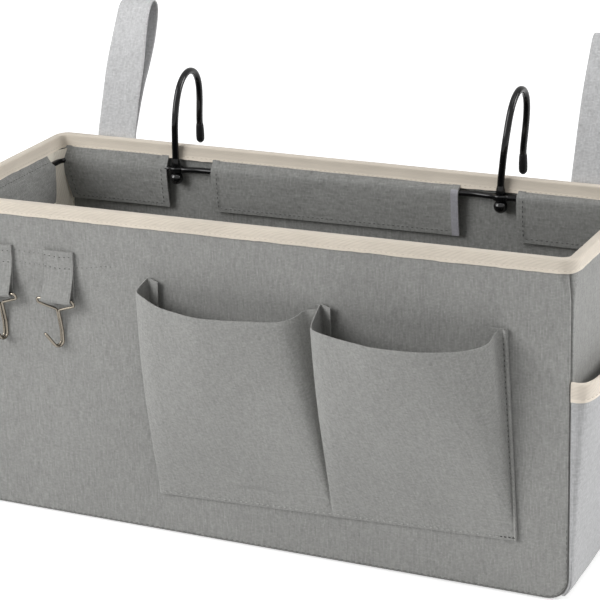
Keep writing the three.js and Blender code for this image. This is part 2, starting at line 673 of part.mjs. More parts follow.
// Tape folded round the key hook's crossbar, its plies sewn together above. The front ply leans out to the
// crossbar, and the fold comes back under it to the back ply, which lies on the panel.
function addKeyTab(name, x) {
  const back = -HALF_D - CLEARANCE;
  const stitch = TAB_TOP_Z - TAB_SEWN;
  const wrapEnd = (5 / 3) * Math.PI; // the fold leaves its curve 30 degrees upwards
  const returnZ = (radius, y) => {
    const endY = KEY_AXIS_Y + radius * Math.cos(wrapEnd);
    return KEY_AXIS_Z + radius * Math.sin(wrapEnd) + (y - endY) * Math.tan(Math.PI / 6);
  };
  const shape = new THREE.Shape();
  shape.moveTo(back, TAB_TOP_Z);
  shape.lineTo(back - 2 * TAB_T, TAB_TOP_Z);
  shape.lineTo(back - 2 * TAB_T, stitch);
  shape.lineTo(KEY_AXIS_Y - TAB_ROUND, KEY_AXIS_Z + TAB_ROUND);
  shape.absarc(KEY_AXIS_Y, KEY_AXIS_Z, TAB_ROUND, Math.PI, wrapEnd, false);
  shape.lineTo(back, returnZ(TAB_ROUND, back));
  const slot = new THREE.Path();
  slot.moveTo(back - TAB_T, returnZ(TAB_EYE, back - TAB_T));
  slot.lineTo(back - TAB_T, stitch - TAB_ROUND);
  slot.lineTo(KEY_AXIS_Y - TAB_EYE, KEY_AXIS_Z + TAB_ROUND);
  slot.absarc(KEY_AXIS_Y, KEY_AXIS_Z, TAB_EYE, Math.PI, wrapEnd, false);
  shape.holes.push(slot);
  addMesh(name, extrudeAlongX(shape, x, TAB_WIDTH), 'pocketLinen');
}

// Double-wire hook bent from one length: crossbar, wings, shank, curl and a hairpin at the tip
function keyHookGeometry() {
  const shank = KEY_WIRE_D / 2 + KEY_WIRE_GAP / 2;
  const curl = KEY_CURL / 2;
  const turn = THREE.MathUtils.degToRad(KEY_TURN);
  const atShank = (side, out, z, bend) => [
    side * shank * Math.cos(turn) - out * Math.sin(turn),
    -side * shank * Math.sin(turn) - out * Math.cos(turn),
    z,
    bend,
  ];
  const half = (side) => [
    [side * KEY_WIRE_GAP / 2, 0, 0],
    [side * KEY_WING, 0, 0, KEY_WIRE_D],
    [side * KEY_WING, 0, -KEY_LEG, KEY_WING_BEND],
    atShank(side, 0, -KEY_WING_DROP, KEY_WIRE_D),
    atShank(side, 0, -KEY_LENGTH, curl),
    atShank(side, KEY_CURL, -KEY_LENGTH, curl),
    atShank(side, KEY_CURL, -KEY_LENGTH + KEY_TIP_RISE, shank),
  ];
  return wire(bentWire([...half(1), ...half(-1).reverse()], 3), KEY_WIRE_D, 8);
}

function addKeyHook(name, x) {
  const hook = addMesh(name, keyHookGeometry(), 'nickel');
  hook.position.set(x + KEY_SLIDE, KEY_AXIS_Y, KEY_AXIS_Z);
  hook.rotation.x = THREE.MathUtils.degToRad(KEY_TILT);
}

// Straps: a webbing loop behind the rim, and the doubled end of it that is sewn to the back panel

const STRAP_Y = HALF_D + BINDING_OUT + CLEARANCE; // front face of the webbing where it is sewn
const STRAP_FOOT = STRAP_T + CLEARANCE / 2; // half thickness of the two plies together
const STRAP_AXIS_Y = STRAP_Y + STRAP_FOOT;
const STRAP_AXIS_Z = BOX_HEIGHT + CLEARANCE + STRAP_FOOT;

// Side view of the loop, up the front ply, over the top and down the back ply
function strapLine() {
  const ply = (STRAP_T + CLEARANCE) / 2;
  const topY = HALF_D + STRAP_LEAN;
  const topZ = BOX_HEIGHT + STRAP_RISE - STRAP_T / 2;
  const z = (share) => THREE.MathUtils.lerp(STRAP_AXIS_Z, topZ, share);
  return new THREE.SplineCurve([
    v2(STRAP_AXIS_Y - ply, z(0)),
    v2(STRAP_AXIS_Y - ply + STRAP_LEAN * 0.3, z(0.36)),
    v2(topY - STRAP_LOOP * 0.95, z(0.76)),
    v2(topY - STRAP_LOOP * 0.35, z(0.95)),
    v2(topY + STRAP_LOOP * 0.1, z(1)),
    v2(topY + STRAP_LOOP * 0.5, z(0.92)),
    v2(topY - STRAP_LOOP * 0.1, z(0.71)),
    v2(STRAP_AXIS_Y + ply + STRAP_LEAN * 0.36, z(0.34)),
    v2(STRAP_AXIS_Y + ply, z(0)),
  ]).getPoints(28);
}

function addStrap(side, x) {
  const loop = toSolid(extrudeAlongX(ribbonShape(strapLine(), STRAP_T), x, STRAP_WIDTH));
  const roll = new THREE.CylinderGeometry(STRAP_FOOT, STRAP_FOOT, STRAP_WIDTH, ROUND_SIDES);
  roll.rotateZ(Math.PI / 2).translate(x, STRAP_AXIS_Y, STRAP_AXIS_Z);
  addMesh(`strap_${side}`, toGeometry(loop.add(toSolid(roll))), 'webbing');
  const anchor = block(
    [x - STRAP_WIDTH / 2, x + STRAP_WIDTH / 2],
    [STRAP_Y, STRAP_Y + 2 * STRAP_FOOT],
    [BOX_HEIGHT - STRAP_ANCHOR_HEIGHT, BOX_HEIGHT],
  );
  addMesh(`strap_anchor_${side}`, anchor, 'webbing');
}

addOuterPanels();
addBoards();
addLinings();
addSeamTapes();
addRimBinding();
addWireFrame();
addSleeves();
addHangerHook('left', -HOOK_X, 0);
addHangerHook('right', HOOK_X, -HOOK_TURN_RIGHT);
addPocket('left', POCKET_LEFT_X);
addPocket('right', POCKET_LEFT_X + POCKET_WIDTH + POCKET_GAP);
addSidePockets();
['left', 'right'].forEach((side, i) => {
  addKeyTab(`key_tab_${side}`, TAB_X[i]);
  addKeyHook(`key_hook_${side}`, TAB_X[i]);
  addStrap(side, STRAP_X[i]);
});

export default caddy;
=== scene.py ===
"""Bedside caddy: the cloth, tape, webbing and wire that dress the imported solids. Sizes are in millimetres."""
import math

import bpy
import numpy as np
from mathutils import Matrix, Vector, noise


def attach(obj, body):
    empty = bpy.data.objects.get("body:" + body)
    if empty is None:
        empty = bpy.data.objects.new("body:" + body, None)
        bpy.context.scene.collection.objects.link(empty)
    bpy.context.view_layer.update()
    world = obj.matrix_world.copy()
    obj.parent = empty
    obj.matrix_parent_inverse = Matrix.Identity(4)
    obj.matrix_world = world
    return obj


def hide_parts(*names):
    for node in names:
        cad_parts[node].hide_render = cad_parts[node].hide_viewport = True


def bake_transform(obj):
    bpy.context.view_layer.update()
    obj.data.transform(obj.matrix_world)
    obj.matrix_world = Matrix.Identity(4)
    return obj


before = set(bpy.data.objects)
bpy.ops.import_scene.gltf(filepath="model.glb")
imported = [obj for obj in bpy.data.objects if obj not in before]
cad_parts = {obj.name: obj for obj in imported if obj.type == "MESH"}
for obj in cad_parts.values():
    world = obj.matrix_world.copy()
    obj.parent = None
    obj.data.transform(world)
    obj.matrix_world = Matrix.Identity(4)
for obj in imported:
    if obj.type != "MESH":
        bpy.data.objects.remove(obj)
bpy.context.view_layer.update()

MM = 0.001
RNG = np.random.default_rng(11)
SIDES = ("left", "right")
FACES = (("front", -1), ("back", 1))

# The box, as in the solids
HALF_W, HALF_D, RIM_Z, WALL_TOP = 200.0, 72.0, 200.0, 199.0
EDGE_R, SEAM_R, RIM_R, BASE_R = 6.0, 2.4, 9.0, 15.0
WALL_T, OUTER_T, LINING_T = 3.8, 1.0, 0.8
STRIP_RUN, RIM_RISE = 784.0, 3.4
BINDING_EDGE_Z, TAPE_T = 192.0, 0.75
RIM_STEPS = {"corner": 12, "long side": 110, "short side": 36}

# Seams: two panels meet halfway round an edge, at this share of its radius. Each passes that by GROOVE, and turns in
# over the last NOTCH before it, with these slopes into the wall and away from the seam
SEAM_SHARE = 1 - math.sqrt(0.5)
GROOVE, NOTCH, TURN_IN, UNDERCUT = 0.12, 0.75, 2.6, 1.8

# Wire frame and hanger hooks; the hook's bend in shares of its reach and rise, profiles as (radius, height)
ROD_X, ROD_Y, ROD_Z, ROD_R, ROD_BEND, ROD_IN = 191.8, 63.8, 187.6, 1.85, 6.0, 1.2
ROD_SLOPE, ROD_DIP, ROD_CLIMB = 0.018, -3.5, 1.7
EYE_REACH, EYE_BORE_R, EYE_R, EYE_HALF_T = 4.4, 2.2, (5.3, 3.9), 1.75
EYE_SECTION = [(0, -0.7), (0.12, -0.95), (0.3, -1), (0.75, -1), (0.93, -0.8), (1, -0.4),
               (1, 0.4), (0.93, 0.8), (0.75, 1), (0.3, 1), (0.12, 0.95), (0, 0.7)]
HOOK_X, HOOK_REACH, HOOK_R = 110.0, 33.0, 2.15
HOOK_RISE, HOOK_TURN = {"left": 44.9, "right": 50.6}, {"left": -1, "right": -3}
HOOK_LEAN = {"left": (0.3, 0.6), "right": (2.7, 1.0)}
HOOK_LOW, HOOK_TIP = 180.5, 196.6
HOOK_BEND = [(0, 0.1), (0.005, 0.32), (0.045, 0.51), (0.125, 0.69), (0.24, 0.84), (0.39, 0.945), (0.57, 1),
             (0.73, 0.995), (0.875, 0.945), (0.98, 0.845), (1.03, 0.71), (1.035, 0.54), (1.015, 0.38), (1, 0.25)]
COLLAR = [(1.8, 190.0), (2.7, 190.0), (2.95, 190.25), (2.9, 191.3), (2.6, 192.6), (2.2, 194.6), (1.8, 196.0)]
BALL_R, BALL_Z, CAP_R, CAP_Z = 4.2, 181.8, 2.65, 197.4
BALL_BORE = [(2.15, 184.9), (2.15, 180.1)]
CAP_SIDE = [(2.72, 199), (2.7, 201.5), (2.6, 204), (2.45, 206), (2.32, 207.2), (2.2, 207.5), (2.12, 207.2),
            (2.12, 196.4)]

# Side view of a sleeve, (off the lining, height): from under the binding over the rod, then hanging to its hem
SLEEVE_LOW, HEM = 160.8, 4.6
SLEEVE_LINE = [(1.3, 193.2), (1.9, 192.3), (2.9, 191.3), (4.05, 190.2), (5.05, 188.9), (5.5, 187.2), (5.65, 185),
               (5.6, 181), (5.25, 175), (4.6, 169), (3.8, 164), (3.3, SLEEVE_LOW)]

# Front pockets; the lip in plan, from its left fold to where it turns in to its right seam: along and off the panel
POCKET_X, POCKET_FLARE = {"left": -58.0, "right": 55.5}, {"left": 0.0, "right": 3.0}
POCKET_W, POCKET_Z0, POCKET_RISE, POCKET_Z1 = 110.0, 26.0, 8.0, 161.0
POCKET_RUN, POCKET_LIE = POCKET_X["right"] + POCKET_W - POCKET_X["left"], 1.15
LIPS = {"left": [(0, 12.4), (10.4, 18.3), (30, 23.0), (44, 24.8), (60, 23.9), (76, 22.0), (86, 20.8), (93.6, 18.7),
                 (98.6, 15.0), (101.0, 11.4), (102.6, 8.2), (104.6, 6.6), (107.2, 5.8), (109.6, 5.2)],
        "right": [(0, 22.2), (7.3, 26.3), (17.6, 28.8), (29.4, 30.8), (41, 32.5), (56.7, 32.3), (70, 31.0), (84, 27.9),
                  (92.4, 24.6), (98.9, 20.5), (101.8, 16.6), (102.6, 13.4), (102.5, 10.4), (102.6, 7.4), (103.5, 3.8),
                  (105.4, 2.0)]}

# Side pockets in plan, from the front seam to the middle of the wall: along and off it
SIDE_POCKET_Z, SIDE_CLOTH_TOP, SIDE_TAPE_Z, SIDE_TAPE_LOW, SIDE_TAPE_HALF = 132.0, 128.5, 132.1, 122.2, 1.05
SIDE_PLAN = [(0.75, -0.9), (0.75, 0.3), (0.7, 2.0), (1.0, 3.8), (2.4, 5.9), (6, 7.9), (13, 9.5), (26, 10.3), (46, 10.5)]

# Key tabs and hooks: the crossbar's place at rest and at full swing; the tab's back ply as (y, height)
TAB_X, TAB_HALF, TAB_T = {"left": -159.8, "right": -117.5}, 10.0, 0.85
TAB_FACE, TAB_TOP = -73.6, 173
TAB_BACK = [(-75.3, 143.6), (-75.0, 145.6), (-74.7, 149.5), (-74.2, 154.5), (-73.4, 159.5), (-72.8, 163),
            (-72.75, TAB_TOP)]
KEY_Y, KEY_Z, KEY_FAR = {"left": -78.6, "right": -78.8}, 144.2, (-76.9, 143.05)
KEY_TURN, KEY_SLIDE = {"left": 10.0, "right": 32.0}, {"left": 0.8, "right": -1.5}
KEY_D, KEY_SHANK, KEY_BAR = 1.6, 1.2, 12.4
# Rows of stitches over the tabs: height, y on a tab, and right end; where both start, and y on the panel
KEY_ROWS, KEY_ROW_START, KEY_ROW_PANEL = ((169.8, -74.05, -106.0), (162.8, -74.2, -81.6)), -176, -71.95

# Straps; side view of the loop, (back, up): up the front ply, over and down the back ply
STRAP_X, STRAP_W, STRAP_T = {"left": -158.3, "right": 164.3}, 26.8, 1.2
STRAP_Y, STRAP_GAP, STRAP_SEWN, STRAP_END = 73.9, 1.5, (170.6, 190.0), (168.4, 200.5)
STRAP_LOOP = [(STRAP_Y, 201.65), (85.2, 230.7), (98.8, 263.0), (107.2, 278.6), (113.2, 282.4), (117.7, 275.9),
              (110.6, 259.0), (89.6, 229.1), (75.4, 201.65)]

# Sewn rows: length of a stitch, gap to the next and radius of the thread
SEWN = {"rim": (1.8, 1.4, 0.18), "channel": (1.7, 1.5, 0.22), "sleeve hem": (1.6, 1.6, 0.2),
        "sleeve end": (1.6, 1.5, 0.24), "seam tape": (2.2, 1.4, 0.18), "pocket hem": (1.9, 1.7, 0.33),
        "pocket side": (1.3, 1.9, 0.24), "pocket tack": (1.4, 1.0, 0.36), "side tape": (2.5, 1.2, 0.2),
        "tab": (1.0, 2.3, 0.27), "tab row": (1.0, 2.3, 0.22), "strap": (2.4, 1.0, 0.27), "seam": (2.1, 1.5, 0.2)}
FIRST_STITCH, STITCH_SHIFT, STITCH_SLANT = 0.5, 0.15, 0.08


# Shapes: each part is (points, quads, uv of each quad corner), with uv in millimetres along the cloth

def smooth(t):
    t = np.clip(t, 0, 1)
    return t * t * (3 - 2 * t)


def between(v, low, rise, high, fall):
    """1 between two values, with a soft step up from the low one and a soft step down to the high one."""
    return smooth((v - low) / rise) * smooth((high - v) / fall)


def unit(v):
    return v / np.maximum(np.linalg.norm(v, axis=-1, keepdims=True), 1e-9)


def run_of(path):
    """Length along a path at each of its points."""
    return np.pad(np.cumsum(np.linalg.norm(np.diff(path, axis=0), axis=1)), (1, 0))


def relaxed(line):
    """The line with each inner point moved halfway to the middle of its neighbours."""
    return np.concatenate([line[:1], (line[:-2] + 2 * line[1:-1] + line[2:]) / 4, line[-1:]])


def arc(radius, start, end, count, centre=(0.0, 0.0)):
    """Points of an arc between two angles in degrees."""
    a = np.radians(np.linspace(start, end, count))
    return np.stack([centre[0] + radius * np.cos(a), centre[1] + radius * np.sin(a)], -1)


def spun(degrees):
    """Matrix of a turn about the upright axis."""
    return np.array(Matrix.Rotation(math.radians(degrees), 3, "Z"))


def raised(v, lift):
    return v + lift[..., None] * (0, 0, 1)


def rim_lift(v):
    """The walls stand a little higher towards the front right corner."""
    x, y, z = v[..., 0], v[..., 1], v[..., 2]
    return RIM_RISE * np.clip(z / RIM_Z, 0, 1) * (x + HALF_W) / (2 * HALF_W) * (HALF_D - y) / (2 * HALF_D)


def rod_lift(x):
    """The rod doesn't run level: it dips towards the back left corner."""
    return np.clip(ROD_SLOPE * x, ROD_DIP, ROD_CLIMB)


def edge_radius(z):
    """Radius of the upright edges: crisp along the seams, rounder up at the rim."""
    return SEAM_R + (RIM_R - SEAM_R) * smooth((z - 175) / 16)


def lining_radius(z):
    return EDGE_R + 0 * np.asarray(z, float)


def outward(v, q, uv):
    a, b, c, d = (v[q[:, m]] for m in range(4))
    volume = np.sum(a * np.cross(b, c)) + np.sum(a * np.cross(c, d))
    return (v, q[:, ::-1], uv[:, ::-1]) if volume < 0 else (v, q, uv)


def loft(rings, uvs, closed=False):
    """Closed body through closed sections: joined end to end, or with strips across the two ends."""
    rings, at = np.asarray(rings, float), np.asarray(uvs, float)
    n, k = rings.shape[:2]
    r, i = np.meshgrid(np.arange(n if closed else n - 1), np.arange(k), indexing="ij")
    q, j = (r + 1) % n, (i + 1) % k
    quads = [np.stack([r * k + i, r * k + j, q * k + j, q * k + i], -1).reshape(-1, 4)]
    uv = [np.stack([at[r, i], at[r, j], at[r + 1, j], at[r + 1, i]], -2).reshape(-1, 4, 2)]
    if not closed:
        a = np.arange(k // 2 - 1)
        cap = np.stack([a, a + 1, k - 2 - a, k - 1 - a], -1)
        for row, quad in ((0, cap[:, ::-1]), (n - 1, cap)):
            quads.append(quad + row * k)
            uv.append(at[row][quad])
    return outward(rings.reshape(-1, 3), np.concatenate(quads), np.concatenate(uv))


def lengths(g, closed=False):
    """uv of a grid by its lengths along the rows and down the columns."""
    g = np.concatenate([g, g[:1]]) if closed else g
    across = np.cumsum(np.linalg.norm(np.diff(g, axis=1), axis=2), 1)
    down = np.cumsum(np.linalg.norm(np.diff(g, axis=0), axis=2), 0)
    return np.stack([np.pad(across, ((0, 0), (1, 0))), np.pad(down, ((1, 0), (0, 0)))], -1)


def grid_normals(g, closed=False):
    down = np.roll(g, -1, 0) - np.roll(g, 1, 0) if closed else np.gradient(g, axis=0)
    return unit(np.cross(down, np.gradient(g, axis=1)))


def cloth(g, thick, uv=None, closed=False):
    """Thin closed body about a grid of points (rows, columns)."""
    g = np.asarray(g, float)
    half = grid_normals(g, closed) * (np.broadcast_to(thick, g.shape[:2])[..., None] / 2)
    uv = lengths(g, closed) if uv is None else uv
    rings = np.concatenate([g + half, (g - half)[:, ::-1]], 1)
    return loft(rings, np.concatenate([uv, uv[:, ::-1]], 1), closed)


def tube(path, radius, sides=18):
    """Round wire along points, with rounded ends."""
    p = np.asarray(path, float)
    t = unit(np.gradient(p, axis=0))
    ends = [(radius * math.sin(a), radius * math.cos(a)) for a in np.radians((30, 58, 80))]
    head = [p[0] - t[0] * s for s, _ in reversed(ends)]
    tail = [p[-1] + t[-1] * s for s, _ in ends]
    r = np.concatenate([[c for _, c in reversed(ends)], np.full(len(p), radius), [c for _, c in ends]])
    p = np.concatenate([head, p, tail])
    t = np.concatenate([[t[0]] * 3, t, [t[-1]] * 3])
    up = np.array((0, 0, 1.0)) if abs(t[0][2]) < 0.9 else np.array((1.0, 0, 0))
    angle = 2 * math.pi * (np.arange(sides) + 0.5) / sides
    rings = []
    for at, along, size in zip(p, t, r):
        up = unit(up - along * up.dot(along))
        rings.append(at + size * (np.outer(np.cos(angle), up) + np.outer(np.sin(angle), np.cross(along, up))))
    return loft(rings, np.stack(np.broadcast_arrays(run_of(p)[:, None], (angle * r.mean())[None]), -1))


def lathe(profile, at=(0, 0, 0), sides=32):
    """Body turned about an upright axis, through (radius, height) points."""
    angle = 2 * math.pi * np.arange(sides) / sides
    circle = np.stack([np.cos(angle), np.sin(angle), 0 * angle], -1)
    rings = [circle * r + np.add(at, (0, 0, z)) for r, z in profile]
    return loft(rings, [np.stack([angle * r, 0 * angle + z], -1) for r, z in profile])


def spline(points, count):
    """Points along a smooth line through the given ones."""
    p = np.asarray(points, float)
    ext = np.concatenate([[2 * p[0] - p[1]], p, [2 * p[-1] - p[-2]]])
    s = np.linspace(0, len(p) - 1 - 1e-9, count)
    i, f = s.astype(int), (s % 1)[:, None]
    a, b, c, d = ext[i], ext[i + 1], ext[i + 2], ext[i + 3]
    return 0.5 * (2 * b + (c - a) * f + (2 * a - 5 * b + 4 * c - d) * f ** 2 + (3 * b - a - 3 * c + d) * f ** 3)


def bent(corners, steps):
    """Points of a bent wire: straight runs joined by arcs. Each inner corner is (x, y, z, bend radius)."""
    c = [np.array(k[:3], float) for k in corners]
    points = [c[0]]
    for before, at, after, (*_, radius) in zip(c, c[1:], c[2:], corners[1:]):
        a, b = unit(before - at), unit(after - at)
        half = math.acos(np.clip(a.dot(b), -1, 1)) / 2
        centre = at + unit(a + b) * radius / math.sin(half)
        start = Vector(at + a * radius / math.tan(half) - centre)
        axis = Vector(unit(np.cross(b, a)))
        for s in range(steps + 1):
            points.append(centre + np.array(Matrix.Rotation((math.pi - 2 * half) * s / steps, 3, axis) @ start))
    return np.array(points + [c[-1]])


def fine(path, step):
    """The same path with points about `step` apart."""
    p = np.asarray(path, float)
    run = run_of(p)
    s = np.linspace(0, run[-1], max(2, int(run[-1] / step) + 1))
    return np.stack([np.interp(s, run, p[:, m]) for m in range(p.shape[1])], -1)


def lumps(a, b, scale, seed):
    """Gentle uneven height, from -1 to 1, over two arrays."""
    a, b = np.broadcast_arrays(a, b)
    heights = [noise.noise(Vector((x / scale, y / scale, seed))) for x, y in zip(a.flat, b.flat)]
    return np.array(heights).reshape(a.shape)


def stitches(path, normal, kind):
    """A row of thread stitches along a path, standing out along `normal`, one for all or one a point."""
    length, gap, radius = SEWN[kind]
    p = np.asarray(path, float)
    n = np.broadcast_to(np.asarray(normal, float), p.shape)
    run = run_of(p)
    s = np.arange(FIRST_STITCH + length / 2, run[-1] - length / 2, length + gap)
    s = s + RNG.uniform(-STITCH_SHIFT, STITCH_SHIFT, len(s))

    def on(values, at):
        return np.stack([np.interp(at, run, values[:, m]) for m in range(3)], -1)

    at = on(p, s)
    t = unit(on(p, s + 0.6) - on(p, s - 0.6))
    up = on(n, s)
    up = unit(up - t * np.sum(t * up, 1, keepdims=True))
    side = np.cross(t, up)
    slant = RNG.uniform(-STITCH_SLANT, STITCH_SLANT, len(s))[:, None]
    t, side = t + side * slant, side - t * slant
    along = np.array((-0.5, -0.36, 0.36, 0.5)) * length
    wide = np.array((0.35, 1.0, 1.0, 0.35)) * radius
    lift = np.array((-0.5, 0.25, 0.25, -0.5)) * radius
    angle = 2 * math.pi * (np.arange(6) + 0.5) / 6
    ring_up = lift[:, None] + wide[:, None] * np.cos(angle)
    ring_side = wide[:, None] * np.sin(angle)
    v = (at[:, None, None] + t[:, None, None] * along[None, :, None, None]
         + up[:, None, None] * ring_up[None, ..., None] + side[:, None, None] * ring_side[None, ..., None])
    uv = np.stack(np.broadcast_arrays(along[:, None], (angle * radius)[None]), -1)
    _, quads, quv = loft(v[0], uv)
    count = v.shape[1] * v.shape[2]
    q = (quads[None] + np.arange(len(s))[:, None, None] * count).reshape(-1, 4)
    return v.reshape(-1, 3), q, np.tile(quv, (len(s), 1, 1))


def link(name, data):
    ob = bpy.data.objects.new(name, data)
    bpy.context.scene.collection.objects.link(ob)
    return ob


def piece(name, parts, material, slot, body="caddy_box", stands_for=(), sharp=50, lifted=False):
    """One visible object of one or more parts, on a body of the frame."""
    parts = parts if isinstance(parts, list) else [parts]
    first = np.cumsum([0] + [len(v) for v, _, _ in parts[:-1]])
    v = np.concatenate([v for v, _, _ in parts])
    if lifted:
        v = raised(v, rim_lift(v))
    me = bpy.data.meshes.new(name)
    me.from_pydata((v * MM).tolist(), [], np.concatenate([q + f for (_, q, _), f in zip(parts, first)]).tolist())
    layer = me.uv_layers.new(name="weave")
    layer.data.foreach_set("uv", np.concatenate([u for _, _, u in parts]).reshape(-1).astype(np.float32))
    me.polygons.foreach_set("use_smooth", np.ones(len(me.polygons), bool))
    me.set_sharp_from_angle(angle=math.radians(sharp))
    me.materials.append(material)
    ob = link(name, me)
    if body:
        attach(ob, body)
    if stands_for:
        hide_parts(*stands_for)
    return ob


def sheet(name, part, material, slot, stands_for, flat, held, rests_on, **more):
    """A piece of cloth; its flat size in metres, how it is held and what it rests on are not used."""
    piece(name, part, material, slot, stands_for=stands_for, **more)


# Materials

class Graph:
    """The nodes of a material or the world, and short ways to add to them."""

    def __init__(self, owner, **values):
        owner.use_nodes = True
        self.owner, self.tree = owner, owner.node_tree
        self.shader = self.tree.nodes.get("Principled BSDF") or self.tree.nodes["Background"]
        for key, value in values.items():
            self.shader.inputs[key.replace("_", " ").title().replace("Ior", "IOR")].default_value = value

    def add(self, kind, out=0, inputs=None, **settings):
        made = self.tree.nodes.new("ShaderNode" + kind)
        for key, value in settings.items():
            setattr(made, key, value)
        for key, value in (inputs or {}).items():
            self.put(made.inputs[key], value)
        return made.outputs[out]

    def put(self, socket, value):
        if isinstance(value, bpy.types.NodeSocket):
            self.tree.links.new(value, socket)
        else:
            socket.default_value = value

    def math(self, operation, a, b=0.0, c=0.0):
        return self.add("Math", inputs={0: a, 1: b, 2: c}, operation=operation)

    def mix(self, share, a, b):
        return self.add("Mix", inputs={0: share, 2: a, 3: b}, data_type="FLOAT")

    def span(self, value, low, high, start=0.0, end=1.0):
        """From `start` to `end` while the value goes from low to high."""
        return self.add("MapRange", inputs={"Value": value, 1: low, 2: high, 3: start, 4: end})

    def vary(self, shade, value, amount, middle=0.5):
        """The shade, moved by how far a value lies from its middle."""
        return self.math("MULTIPLY_ADD", self.math("SUBTRACT", value, middle), amount, shade)

    def noise(self, x, x_scale, y, y_scale, detail=2.0, seed=0.0):
        at = {0: self.math("MULTIPLY", x, x_scale), 1: self.math("MULTIPLY", y, y_scale), 2: seed}
        at = self.add("CombineXYZ", inputs=at)
        return self.add("TexNoise", inputs={"Vector": at, "Scale": 1.0, "Detail": detail}, noise_dimensions="3D")

    def weave(self):
        """Where a point lies across and along the cloth, in millimetres."""
        return self.add("SeparateXYZ", inputs={0: self.add("UVMap", uv_map="weave")}).node.outputs[:2]

    def seen(self):
        """1 for what the camera sees, also in a mirror or through glass, and 0 for light on the object."""
        rays = self.add("LightPath").node.outputs
        either = self.math("MAXIMUM", rays["Is Glossy Ray"], rays["Is Transmission Ray"])
        return self.math("MAXIMUM", rays["Is Camera Ray"], either)

    def shades(self, value, colour, dark, pale, start=0.0, end=1.0):
        """The colour, from a darker shade at the start of the value's range to a paler one at its end."""
        made = self.tree.nodes.new("ShaderNodeValToRGB")
        for stop, at, factor in zip(made.color_ramp.elements, (start, end), (dark, pale)):
            stop.position, stop.color = at, (*(min(c * factor, 1) for c in colour), 1)
        self.put(made.inputs[0], value)
        return made.outputs[0]

    def finish(self, colour, height, distance, strength=0.6, rough=None):
        self.put(self.shader.inputs["Base Color"], colour)
        if rough is not None:
            self.put(self.shader.inputs["Roughness"], rough)
        bump = self.add("Bump", inputs={"Strength": strength, "Distance": distance, "Height": height})
        self.put(self.shader.inputs["Normal"], bump)
        return self.owner


def surface(name, **values):
    return Graph(bpy.data.materials.new(name), **values)


def fabric(name, roughness):
    return surface(name, roughness=roughness, sheen_weight=0.2, sheen_roughness=0.5, specular_ior_level=0.25)


def woven(name, colour, pitch, warp_tone, weft_tone, mottle, distance=0.0002):
    """Plain weave of uneven yarns: each yarn has its own tone along its length, over a soft mottling, and painted shade
    darkens the colour where the weave lies low.
    """
    g = fabric(name, 0.92)
    a, b = [g.math("DIVIDE", k, pitch) for k in g.weave()]
    wander = g.noise(a, 0.05, b, 0.05, 1.0)
    a, b = g.math("MULTIPLY_ADD", wander, 1.2, a), g.math("MULTIPLY_ADD", wander, -1.0, b)
    ia, ib = g.math("FLOOR", a), g.math("FLOOR", b)
    ra, rb = [g.math("SINE", g.math("MULTIPLY", g.math("FRACT", k), math.pi)) for k in (a, b)]
    over = g.math("MODULO", g.math("ABSOLUTE", g.math("ADD", ia, ib)), 2.0)
    warp = g.noise(ia, 3.7, b, 0.12)
    weft = g.noise(a, 0.3, ib, 3.7, seed=9.0)
    yarn = g.vary(g.vary(0.0, warp, warp_tone), weft, weft_tone)
    spots = g.noise(a, 0.6, b, 0.6, seed=21.0)
    cloud = g.noise(a, 0.02, b, 0.008, 3.0, 5.0)
    top_a = g.math("MULTIPLY", ra, g.math("MULTIPLY_ADD", rb, 0.4, 0.6))
    top_b = g.math("MULTIPLY", rb, g.math("MULTIPLY_ADD", ra, 0.4, 0.6))
    height = g.mix(over, top_b, top_a)
    shade = g.math("ADD", yarn, g.vary(0.5, cloud, 0.25))
    # Darker where the weave lies low: painted shade in the hollows between the yarns; the spots are mottling in the
    # yarn.
    shade = g.vary(g.vary(shade, height, 0.22, 0.55), spots, mottle)
    return g.finish(g.shades(shade, colour, 0.6, 1.4), g.math("MULTIPLY_ADD", yarn, 0.6, height), distance)


def twill(name, colour, width, smooth_from=99.0):
    """Cotton tape with slanting twill ribs between two plain edges, with painted shade in the grooves between the ribs;
    beyond `smooth_from` across it the ribs fade and the colour is a little darker, then paler again further across.
    """
    g = fabric(name, 0.9)
    across, along = g.weave()
    body = g.span(g.math("MINIMUM", across, g.math("SUBTRACT", width, across)), 1.7, 2.5)
    wander = g.noise(across, 0.12, along, 0.07)
    slant = g.math("MULTIPLY_ADD", wander, 2.6, g.math("MULTIPLY_ADD", along, -0.5, across))
    slant = g.math("DIVIDE", slant, 2.1)
    rib = g.math("POWER", g.math("ABSOLUTE", g.math("SINE", g.math("MULTIPLY", slant, math.pi))), 0.6)
    beyond_smooth_from = g.span(across, smooth_from, smooth_from + 2.0)
    faint = g.noise(across, 0.3, along, 0.1, seed=14.0)
    faint = g.math("MULTIPLY", faint, g.math("MULTIPLY_ADD", beyond_smooth_from, -1.2, 1.5))
    rib = g.mix(g.math("MULTIPLY", body, faint), 0.9, rib)
    yarn = g.noise(across, 2.4, along, 0.12, seed=3.0)
    cloud = g.noise(across, 0.06, along, 0.03, 3.0, 8.0)
    # The colour follows the ribs: painted shade in their grooves, over the yarn's own tone.
    shade = g.vary(g.vary(g.math("MULTIPLY_ADD", rib, 0.3, 0.24), yarn, 0.4), cloud, 0.5)
    shade = g.math("MULTIPLY_ADD", g.math("SUBTRACT", 1.0, body), 0.28, shade)
    # A little darker beyond smooth_from, and paler again from 4.6 mm further on.
    shade = g.math("MULTIPLY_ADD", g.math("MULTIPLY", beyond_smooth_from, body), -0.06, shade)
    shade = g.math("MULTIPLY_ADD", g.span(across, smooth_from + 4.6, smooth_from + 5.8), 0.16, shade)
    return g.finish(g.shades(shade, colour, 0.74, 1.14), g.math("MULTIPLY_ADD", yarn, 0.4, rib), 0.00025)


